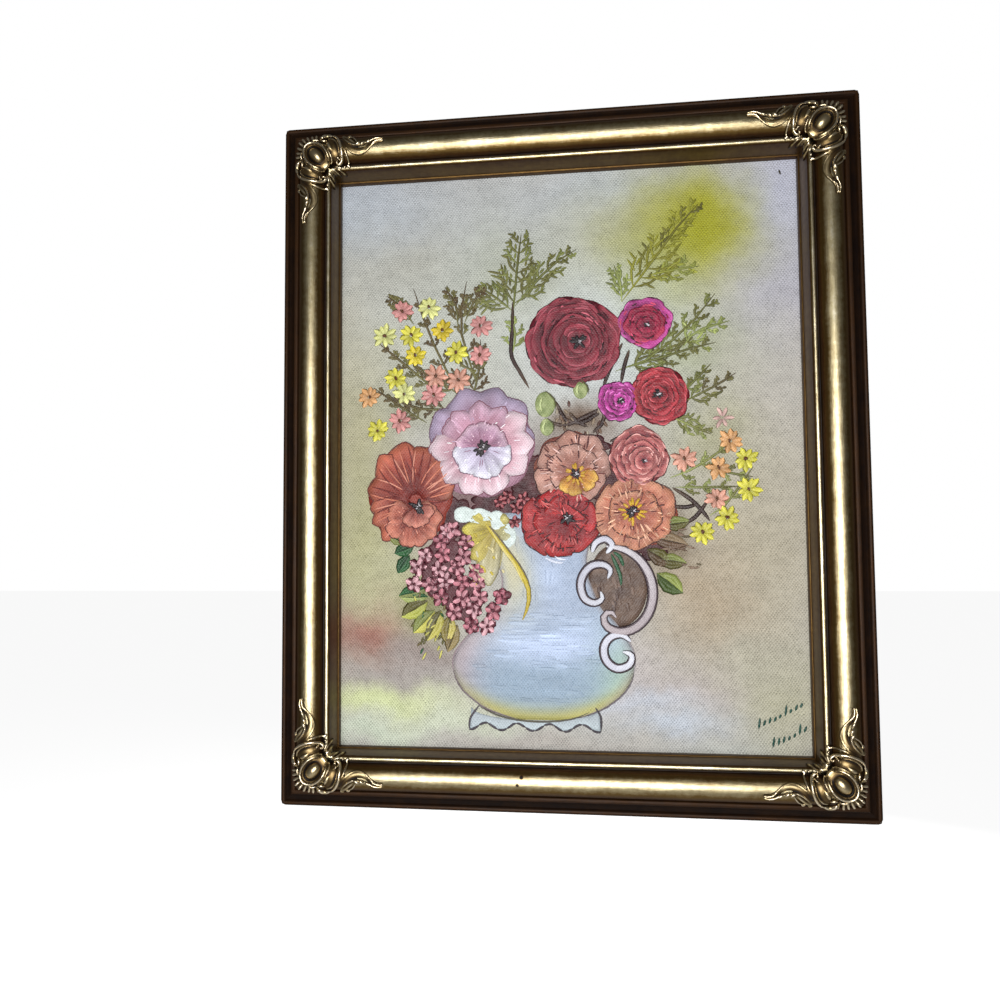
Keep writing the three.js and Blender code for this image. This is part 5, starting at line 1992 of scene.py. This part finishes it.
WHITE_SCROLL = [(214, 216, 226), (196, 196, 210), (222, 224, 232)]
GREY_SCROLL = [(206, 202, 208), (170, 158, 162), (186, 176, 180)]
scroll([(17, -38.6), (24, -39.8), (30.5, -44), (34.8, -51), (36, -59), (33.8, -67), (28.6, -72.6),
        (22, -74.4), (16.6, -72), (15.6, -67.6), (18.6, -66), (20.6, -68.4)], 1.75, GREY_SCROLL)
scroll([(17.4, -52), (18.6, -48.6), (15.6, -46.2), (11, -46.6), (7.4, -50), (6, -55), (7.6, -60.4),
        (11.6, -62.4), (15, -60.6), (14.4, -57.6)], 1.55, WHITE_SCROLL)
scroll([(11, -41), (12.6, -37), (16.6, -35.4), (19.4, -38), (17, -41.4)], 1.4, WHITE_SCROLL)
scroll([(26.6, -78.4), (22.8, -75.6), (18, -76.8), (15.4, -81), (16.4, -86.4), (20.8, -89.6),
        (25.8, -88), (26.8, -84), (23.2, -82.6)], 1.6, WHITE_SCROLL)
for path in ([(-9, -43), (-5, -45), (-1, -45.4)], [(-7, -41), (-3.4, -43.4), (0, -44)]):
    dab(JUG, path, 0.6, (216, 222, 238), 0.6)
painted.append(lay("painted_jug", JUG, rings=12))
painted.append(lay("painted_glaze", GLAZE, body=0.08))
painted.append(lay("painted_scrolls", SCROLLS, rings=30, sides=8))

# %% [markdown]
# Florets, daisies and leaves
#
# The small flowers hang round the large ones: a tapering cluster of pink florets, and loose
# daisies on thin twigs. Each is a few dabs round a dark middle, so one function makes them all,
# and the places are a short list. The ferny sprigs are a stem with side twigs that get shorter
# towards its tip, each with a few needles.

# %% Small flowers and sprigs
FIRST_TWIG, TWIG_SPREAD = 0.15, 42


def small_flower(passage, at, size, petals, tone, middle, lift, half_width=0.9, edge=None):
    offset = dice.uniform(0, 360)
    for k in range(petals):
        a = offset + 360 / petals * k + dice.uniform(-10, 10)
        reach = size * dice.uniform(0.85, 1.12)
        path = [turned(at, a, size * 0.12, 0), turned(at, a, reach * 0.6, 0), turned(at, a, reach, 0)]
        if edge:
            dab(passage, path, half_width + 0.4, edge, lift - 0.12)
        dab(passage, path, half_width, [shade(tone, 0.86), tone, shade(tone, 1.1)], lift, tone=0.1)
    if middle:
        for _ in range(3):
            spot = turned(at, dice.uniform(0, 360), 0.4, 0)
            dab(passage, [(spot[0] - 0.4, spot[1]), (spot[0] + 0.4, spot[1] + 0.3)], 0.7, middle,
                lift + 0.25)


def sprig(passage, stem, reach, twigs, dark, light):
    """A ferny sprig along a stem of points."""
    dab(passage, stem, 0.55, [light, between(dark, light, 0.5), dark], 0.3)
    spots = np.array(stem, float)
    gaps = np.hypot(*np.diff(spots, axis=0).T)
    run = np.concatenate([[0.0], np.cumsum(gaps)])
    for k in range(twigs):
        share = FIRST_TWIG + (1 - FIRST_TWIG) * k / twigs
        x, y = (float(np.interp(run[-1] * share, run, spots[:, i])) for i in (0, 1))
        i = min(len(gaps) - 1, int(np.searchsorted(run, run[-1] * share, "right") - 1))
        facing = math.degrees(math.atan2(*(spots[i + 1] - spots[i])[::-1]))
        long = reach * (1 - 0.72 * share) * dice.uniform(0.8, 1.15)
        for side in (1, -1):
            a = facing + side * (TWIG_SPREAD + dice.uniform(-16, 12))
            end = turned((x, y), a, long, side * -long * 0.12)
            half = turned((x, y), a, long * 0.5, side * long * 0.06)
            tone = between(dark, light, dice.uniform(0.1, 0.9))
            dab(passage, [(x, y), half, end], 0.6, tone, 0.2)
            for part, lean in ((0.3, -40), (0.5, 36), (0.66, -34), (0.8, 38)):
                base = (x + (end[0] - x) * part, y + (end[1] - y) * part)
                needle = long * 0.4 * dice.uniform(0.6, 1.3)
                tip = turned(base, a + lean + dice.uniform(-10, 10), needle, 0)
                dab(passage, [base, tip], 0.54, shade(tone, dice.uniform(0.86, 1.16)), 0.24)


def leaf(passage, at, angle, length, width, dark, light):
    """A leaf of two tones with a rib."""
    for side, tone in ((-1, dark), (1, light)):
        for k in (0.35, 0.85):
            path = [at, turned(at, angle, length * 0.5, side * width * k), turned(at, angle, length, 0)]
            dab(passage, path, width * 0.42, [shade(tone, 0.9), tone, shade(tone, 1.1)], 0.4)
    dab(passage, [at, turned(at, angle, length * 0.95, 0)], 0.26, shade(dark, 0.7), 0.65)


OLIVE, GREEN, PALE_GREEN, BROWN = (96, 92, 50), (126, 134, 74), (164, 176, 106), (88, 70, 50)
DEEP_GREEN, DARK_STEM = (44, 92, 52), (50, 32, 30)
PINK, ORANGE_PINK, ORANGE = (210, 146, 142), (212, 156, 136), (216, 164, 112)
YELLOW, PALE_YELLOW, CENTRE = (214, 208, 82), (216, 218, 142), (96, 58, 36)
FOLIAGE = []
STEMS = []
print("colours of the leaves:", OLIVE, GREEN, PALE_GREEN)

# %% [markdown]
# Stems and sprigs
#
# Thin dark stems cross behind the blooms. The sprigs are listed from the top of the bunch to
# its left and right sides: a stem's points, how far its twigs reach, how many there are, and
# the two tones that it is mixed from.

# %% Paint the stems and the sprigs
for stem in ([(-15, 30), (-19, 37), (-22.6, 45), (-22.2, 57), (-21.7, 68)],
             [(25, 48), (22, 42), (18.4, 34), (16.6, 28)], [(28, 45), (25.6, 38), (24.4, 31)],
             [(-1, 17), (4, 14.5), (9, 15), (14, 18), (17, 20)], [(2, 19), (5, 15), (10, 12.6)],
             [(17, 19), (16, 14), (12, 10)], [(-4, 24), (-1, 18), (2, 14)],
             [(29, 12), (24, 8), (19, 6)], [(-8, 16), (0, 13.5), (10, 17.5), (19, 22)],
             [(45, -14), (52, -19), (57, -24), (60, -28)],
             [(44, -22), (50, -22.4), (55, -21)], [(48, -30), (54, -26.6), (59, -20)]):
    dab(STEMS, stem, 0.85, [(92, 72, 54), DARK_STEM, (72, 54, 44)], 0.3)
strew(FOLIAGE, 22, (-4, 17, 10, 24), (-2, 2, -1.5, -4), 0.7,
      ((120, 96, 80), (150, 132, 112), (92, 66, 58), (176, 164, 146)), 0.32)
for row in (
    ([(-21.7, 62), (-20.6, 74), (-19.4, 86), (-18, 98)], 15, 7, OLIVE, GREEN),
    ([(-21, 66), (-13, 75), (-4, 84), (6, 90)], 12, 6, OLIVE, GREEN),
    ([(-22, 64), (-29, 70), (-36, 75)], 11, 5, OLIVE, GREEN),
    ([(-22, 46), (-21, 54), (-23, 62)], 8, 3, GREEN, PALE_GREEN),
    ([(25, 66), (33, 76), (42, 88), (50, 99), (58, 107)], 17, 9, OLIVE, (150, 150, 50)),
    ([(25, 66), (24.6, 74), (22, 82)], 9, 4, GREEN, PALE_GREEN),
    ([(36, 77), (47, 79), (58, 80)], 9, 4, GREEN, (160, 162, 64)),
    ([(22, 36), (34, 40), (48, 50), (58, 60), (64, 68)], 13, 7, OLIVE, GREEN),
    ([(24, 37), (40, 41), (54, 45), (64, 47)], 9, 6, OLIVE, GREEN),
    ([(50, 45), (56, 52), (70, 56)], 8, 4, GREEN, PALE_GREEN),
    ([(50, 22), (58, 26), (66, 30), (72, 34)], 8, 4, BROWN, GREEN),
    ([(50, 26), (56, 32), (62, 38)], 6, 3, OLIVE, GREEN),
    ([(45, 16), (53, 12), (61, 8)], 8, 4, OLIVE, PALE_GREEN),
):
    sprig(FOLIAGE, *row)
for stem in ([(-44, 26), (-52, 40), (-60, 58), (-66, 76)], [(-46, 28), (-54, 34), (-66, 40)],
             [(-38, 32), (-42, 46), (-45, 60), (-42, 78)], [(-48, 22), (-62, 22), (-76, 27)],
             [(-56, 30), (-70, 42), (-82, 52)], [(-40, 26), (-37, 38), (-36, 52)],
             [(-60, 16), (-70, 22), (-84, 32)], [(-66, 60), (-71, 67), (-78, 73)],
             [(-46, 58), (-47, 67), (-52, 76)], [(-43, 60), (-39, 69), (-34, 76)]):
    sprig(FOLIAGE, stem, 7.5, 5, BROWN, (118, 118, 70))
for stem in ([(44, -10), (54, -6), (66, 2), (70, 8)], [(46, -14), (58, -14), (72, -14)],
             [(58, -4), (68, -8), (78, -10)], [(60, -26), (66, -22), (78, -6)]):
    sprig(FOLIAGE, stem, 6, 3, OLIVE, PALE_GREEN)
print("stems:", len(STEMS), "strokes of foliage so far:", len(FOLIAGE))

# %% [markdown]
# Daisies, buds, florets and leaves
#
# The daisies are a list of places and colours. The pink cluster is rows of florets that taper
# downwards, over dark ovals that fill the gaps. Single leaves, a few flecks and two rows of
# small upright strokes in the bottom right corner finish the picture.

# %% Paint the small flowers
for x, y, tone in (
    (-71, 66, PINK), (-36, 58, PINK), (-36.4, 45, PINK), (-72, 17, PINK), (-59, 67, PALE_YELLOW),
    (-79, 55, PALE_YELLOW), (-67, 55, YELLOW), (-53, 56.5, (214, 190, 56)), (-65, 46, (214, 196, 60)),
    (-47, 46.5, YELLOW), (-74, 36, YELLOW), (-70, 29, PALE_YELLOW), (-82, 13, YELLOW),
    (-56, 36.5, ORANGE_PINK), (-46, 34.5, ORANGE_PINK), (-57, 28, PINK), (-86, 28, ORANGE),
    (69, 5, ORANGE), (50, -2, ORANGE_PINK), (64, -6, ORANGE), (63, -19, ORANGE_PINK),
    (75, -2.5, YELLOW), (76, -15, YELLOW), (67, -27, YELLOW), (57, -33, YELLOW),
):
    small_flower(FOLIAGE, (x, y), dice.uniform(4.7, 5.5), 9, tone, CENTRE, 0.45, half_width=1.35)
small_flower(FOLIAGE, (66, 15), 4.6, 6, (214, 178, 170), None, 0.3)

BUD_DARK, BUD_PALE = (122, 136, 84), (170, 180, 126)
for x, y, r in ((-8.2, 22.6, 5.0), (7.0, 28.6, 3.6), (-7.6, 12.8, 3.4)):
    oval_patch((x, y), (r * 0.86, r * 1.1), cloudy(BUD_DARK, BUD_PALE, 0.5, 1.0, 0.4), 0.5, dome=0.4)
    dab(FOLIAGE, [(x - r * 0.3, y - r * 0.6), (x - r * 0.45, y), (x - r * 0.2, y + r * 0.6)], 0.6,
        (196, 208, 150), 0.9)
    dab(FOLIAGE, [(x + r * 0.9, y - r * 0.5), (x + r * 0.8, y + r * 0.4), (x, y + r * 1.15)], 0.4,
        (84, 84, 50), 0.85)

CLUSTER = []
for row, (y, left, right) in enumerate(((-31, -52, -49), (-36, -57, -46), (-42, -61, -44),
                                        (-48, -66, -41), (-54, -66, -37), (-60, -57, -30),
                                        (-66, -49, -32), (-72, -43, -36))):
    count = max(2, round((right - left) / 6.4))
    for k in range(count):
        x = left + (right - left) * (k + 0.5 * (row % 2) * 0.6) / (count - 1 or 1)
        CLUSTER.append((x + dice.uniform(-0.8, 0.8), y + dice.uniform(-1, 1)))
for x, y, r in ((-52.5, -42, 8), (-54, -51, 9.5), (-44, -61, 9)):
    oval_patch((x, y), (r, r * 1.1), lambda px, py: (92, 50, 56), 0.12, waves=9, depth=0.12)
for x, y in CLUSTER:
    tone = dice.choice(((208, 146, 156), (192, 122, 134), (216, 168, 176), (184, 110, 124)))
    small_flower(FOLIAGE, (x, y), 3.9, 5, tone, (92, 40, 52), dice.uniform(0.5, 0.8),
                 half_width=1.5, edge=(104, 54, 64))
for x, y in ((-21, -22), (-16, -26), (-22, -28), (-13, -20), (-18, -18), (-28, -19.5), (-24.5, -17)):
    small_flower(FOLIAGE, (x, y), 3.0, 5, (176, 100, 104), (80, 34, 40), 0.45, edge=(92, 40, 48))

for x, y, angle, length, width, dark, light in (
    (38, -50, -38, 13, 3.6, (74, 92, 44), (140, 152, 78)), (34, -40, -32, 12, 3.0, BROWN, OLIVE),
    (36, -35, -12, 15, 3.0, (106, 84, 66), (136, 116, 90)), (38, -44, -8, 12, 2.8, OLIVE, GREEN),
    (40, -30, 8, 12, 2.6, OLIVE, GREEN), (-66, -38, 200, 9, 2.6, (34, 74, 44), DEEP_GREEN),
    (-68, -42, 236, 9, 2.4, (34, 74, 44), DEEP_GREEN), (-70, -37, 150, 8, 2.2, DEEP_GREEN, GREEN),
    (-60, -56, 196, 13, 2.8, DEEP_GREEN, GREEN), (-60, -62, 210, 13, 3.4, OLIVE, (172, 176, 84)),
    (-57, -66, 226, 13, 3.4, GREEN, (184, 180, 86)), (-54, -66, 244, 14, 3.4, OLIVE, (190, 182, 92)),
    (-50, -68, 262, 12, 3.0, (128, 116, 62), (186, 174, 96)), (-60, -60, 180, 12, 2.6, DEEP_GREEN,
     PALE_GREEN),
    (-47, -72, 250, 12, 2.6, (112, 96, 62), (150, 132, 86)),
):
    leaf(FOLIAGE, (x, y), angle, length, width, dark, light)
strew(FOLIAGE, 26, (-66, -50, -84, -56), (-2.5, 1.5, -1.5, -4), 0.5,
      ((190, 186, 92), OLIVE, DEEP_GREEN, (206, 200, 110), (120, 106, 68)), 0.66)
strew(FOLIAGE, 18, (38, 54, -48, -28), (2, 5, -1.5, 1), 0.45,
      ((120, 98, 82), (96, 84, 60), (140, 118, 100)), 0.5)

MARK_GREEN = (30, 78, 66)
for count, left, low in ((9, 77.5, -113.5), (7, 83, -121)):
    for k in range(count):
        x, y = left + 2.1 * k, low + 1.1 * k
        tall = 4.6 if k in (0, 5) else dice.uniform(1.6, 3.2)
        dab(FOLIAGE, [(x, y), (x + 0.7, y + tall)], 0.5, MARK_GREEN, 0.2)
dab(FOLIAGE, [(91.6, 119.6), (92.2, 117.6)], 0.4, (60, 54, 40), 0.25)
painted += [lay("painted_foliage", FOLIAGE, rings=5, sides=5),
            lay("painted_stems", STEMS, rings=14, sides=6), lay_patches("painted_soft_shapes")]

# %% [markdown]
# The hanger, its nails and the points
#
# The hardware keeps its CAD shapes, and only gets its finishes. The hanger is stamped steel
# with a dull brassy plating, its nails are the same, and the driven points are bare grey
# steel. Rolled sheet has fine scratches along it and cloudy tarnish, so both finishes are one
# function with other colours.

# %% Finishes of the hardware
def plain_metal(name, bright, tarnished, spots, rough):
    """Rolled metal with tarnish, small dark spots and fine scratches."""
    material, tree, shader = new_material(name)
    here = object_coordinates(tree)
    clouds = clouds_at(here, 160.0, 4.0)
    specks = place(tree, "TexVoronoi", {"Vector": here, "Scale": 900.0})
    scratches = clouds_at(place(tree, "Mapping", {0: here, 3: (220.0, 900.0, 4200.0)}), 1.0, 3.0)
    tone = mix_colour(ramp(clouds, [(0.4, 0.0), (0.65, 1.0)]), bright, tarnished)
    tone = mix_colour(ramp(specks, [(0.06, 0.8), (0.14, 0.0)]), tone, spots)
    wire(shader, {"Base Color": tone, "Roughness": scaled(clouds, 0.3, rough), "Metallic": 0.95,
                  "Normal": bumped(scratches, 0.3, 0.00008)})
    return material


brassy_steel = plain_metal("brassy_steel", linear(176, 152, 96), linear(128, 104, 62),
                           linear(64, 44, 28), 0.2)
grey_steel = plain_metal("grey_steel", linear(150, 150, 148), linear(104, 102, 98),
                         linear(70, 52, 40), 0.28)
for node in NODES:
    if node.startswith(("hanger", "nail", "point")):
        hardware = bpy.data.objects[node].data
        dress(hardware, grey_steel if node.startswith("point") else brassy_steel)
        print(node, hardware.materials[0].name)

# %% [markdown]
# The camera
#
# The camera stands a third of a metre in front of the painting, a little below its middle, and
# looks slightly up and to the left. It is turned a little about its own axis too, as a camera
# in the hand is: three directions at right angles say that better than angles would.

# %% Place the camera
CAMERA_AT = Vector((0.00857, -0.3303, -0.1770))
LOOKING = Vector((-0.11321, 0.99225, 0.05117)).normalized()
UPWARD = Vector((0.01328, -0.04998, 0.99866))
LENS = 27.04
SENSOR = 36.0

camera_data = bpy.data.cameras.new("camera")
camera_data.lens = LENS
camera_data.sensor_width = SENSOR
camera_data.clip_start = 0.01
camera = show("camera", camera_data)
sideways = LOOKING.cross(UPWARD).normalized()
upright = sideways.cross(LOOKING)
camera.matrix_world = Matrix.LocRotScale(
    CAMERA_AT, Matrix((sideways, upright, -LOOKING)).transposed(), None)
bpy.context.scene.camera = camera
print("camera at", tuple(round(v, 3) for v in camera.location))

# %% [markdown]
# The light
#
# One round soft light hangs close in front of the picture, behind the camera. Being near, it
# puts the bright line on the inner half of each big round. A second, wider one stands behind
# the picture, so that the back can be seen as well. A dim grey world fills the shadows.
# The camera itself sees a white world, which a Light Path node gives it. The Standard view
# transform shows each colour as it was mixed.

# %% Light the room
LAMPS = {
    # name: place in metres, size, power
    "soft_light": ((-0.02, -0.55, -0.2), 0.44, 3.5),
    "back_fill": ((0.35, 0.8, 0.1), 0.8, 7.0),
}
WORLD_GREY = 0.10
PICTURE_MIDDLE = Vector((0, PAINT_Y, CENTRE_Z)) * MM

for name, (at, size, power) in LAMPS.items():
    lamp = bpy.data.lights.new(name, "AREA")
    lamp.shape = "DISK"
    lamp.size = size
    lamp.energy = power
    light = show(name, lamp)
    light.location = at
    light.rotation_euler = (PICTURE_MIDDLE - Vector(at)).to_track_quat("-Z", "Y").to_euler()
    print(name, power, "W")


def seen_by_camera(tree):
    """A value of 1 where the camera looks at the surface or the world itself."""
    return place(tree, "LightPath", None, "Is Camera Ray")


world = bpy.data.worlds.new("studio")
bpy.context.scene.world = world
world.use_nodes = True
tree = world.node_tree
room_colour = mix_colour(seen_by_camera(tree), grey(WORLD_GREY), grey(1.0))
wire(tree.nodes["Background"], {0: room_colour})
bpy.context.scene.view_settings.view_transform = "Standard"

# %% [markdown]
# The floor
#
# The picture hangs, so the floor is far below it and only closes the scene. It is a plain pale
# sheet that glows a little where the camera sees it, so that the small light above needn't
# reach it.

# %% Lay the floor
FLOOR_Z, FLOOR_HALF = -0.62, 6.0
GLOW = 0.86

sheet = [(x * FLOOR_HALF, y * FLOOR_HALF, FLOOR_Z) for x, y in ((-1, -1), (1, -1), (1, 1), (-1, 1))]
floor = show("floor", mesh_of("floor", sheet, [(0, 1, 2, 3)]))
pale_floor, tree, shader = new_material("pale_floor")
wire(shader, {"Base Color": grey(0.8), "Roughness": 0.9, "Emission Color": grey(1.0),
              "Emission Strength": times(seen_by_camera(tree), GLOW)})
dress(floor.data, pale_floor)
print("floor at", FLOOR_Z)

# %% [markdown]
# Put the pieces on one body
#
# Nothing moves, so every piece rides on the one body, root. Where a piece stands for a CAD
# node, that node is hidden.

# %% Put the pieces on the body and hide the CAD nodes that they replace
hand_in = [(rail, "gilt_moulding", "rail_" + side) for side, rail in rails.items()]
hand_in += [(casting, "gilt_casting", node) for node, casting in corners.items()]
hand_in += [(canvas_board, "canvas", "canvas_panel")]
hand_in += [(layer, "canvas", None) for layer in painted]
for piece, slot, node in hand_in:
    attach(piece, "root")
    if node:
        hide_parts(node)
print(len(hand_in), "pieces,", sum(triangles(piece.data) for piece, *_ in hand_in), "triangles")
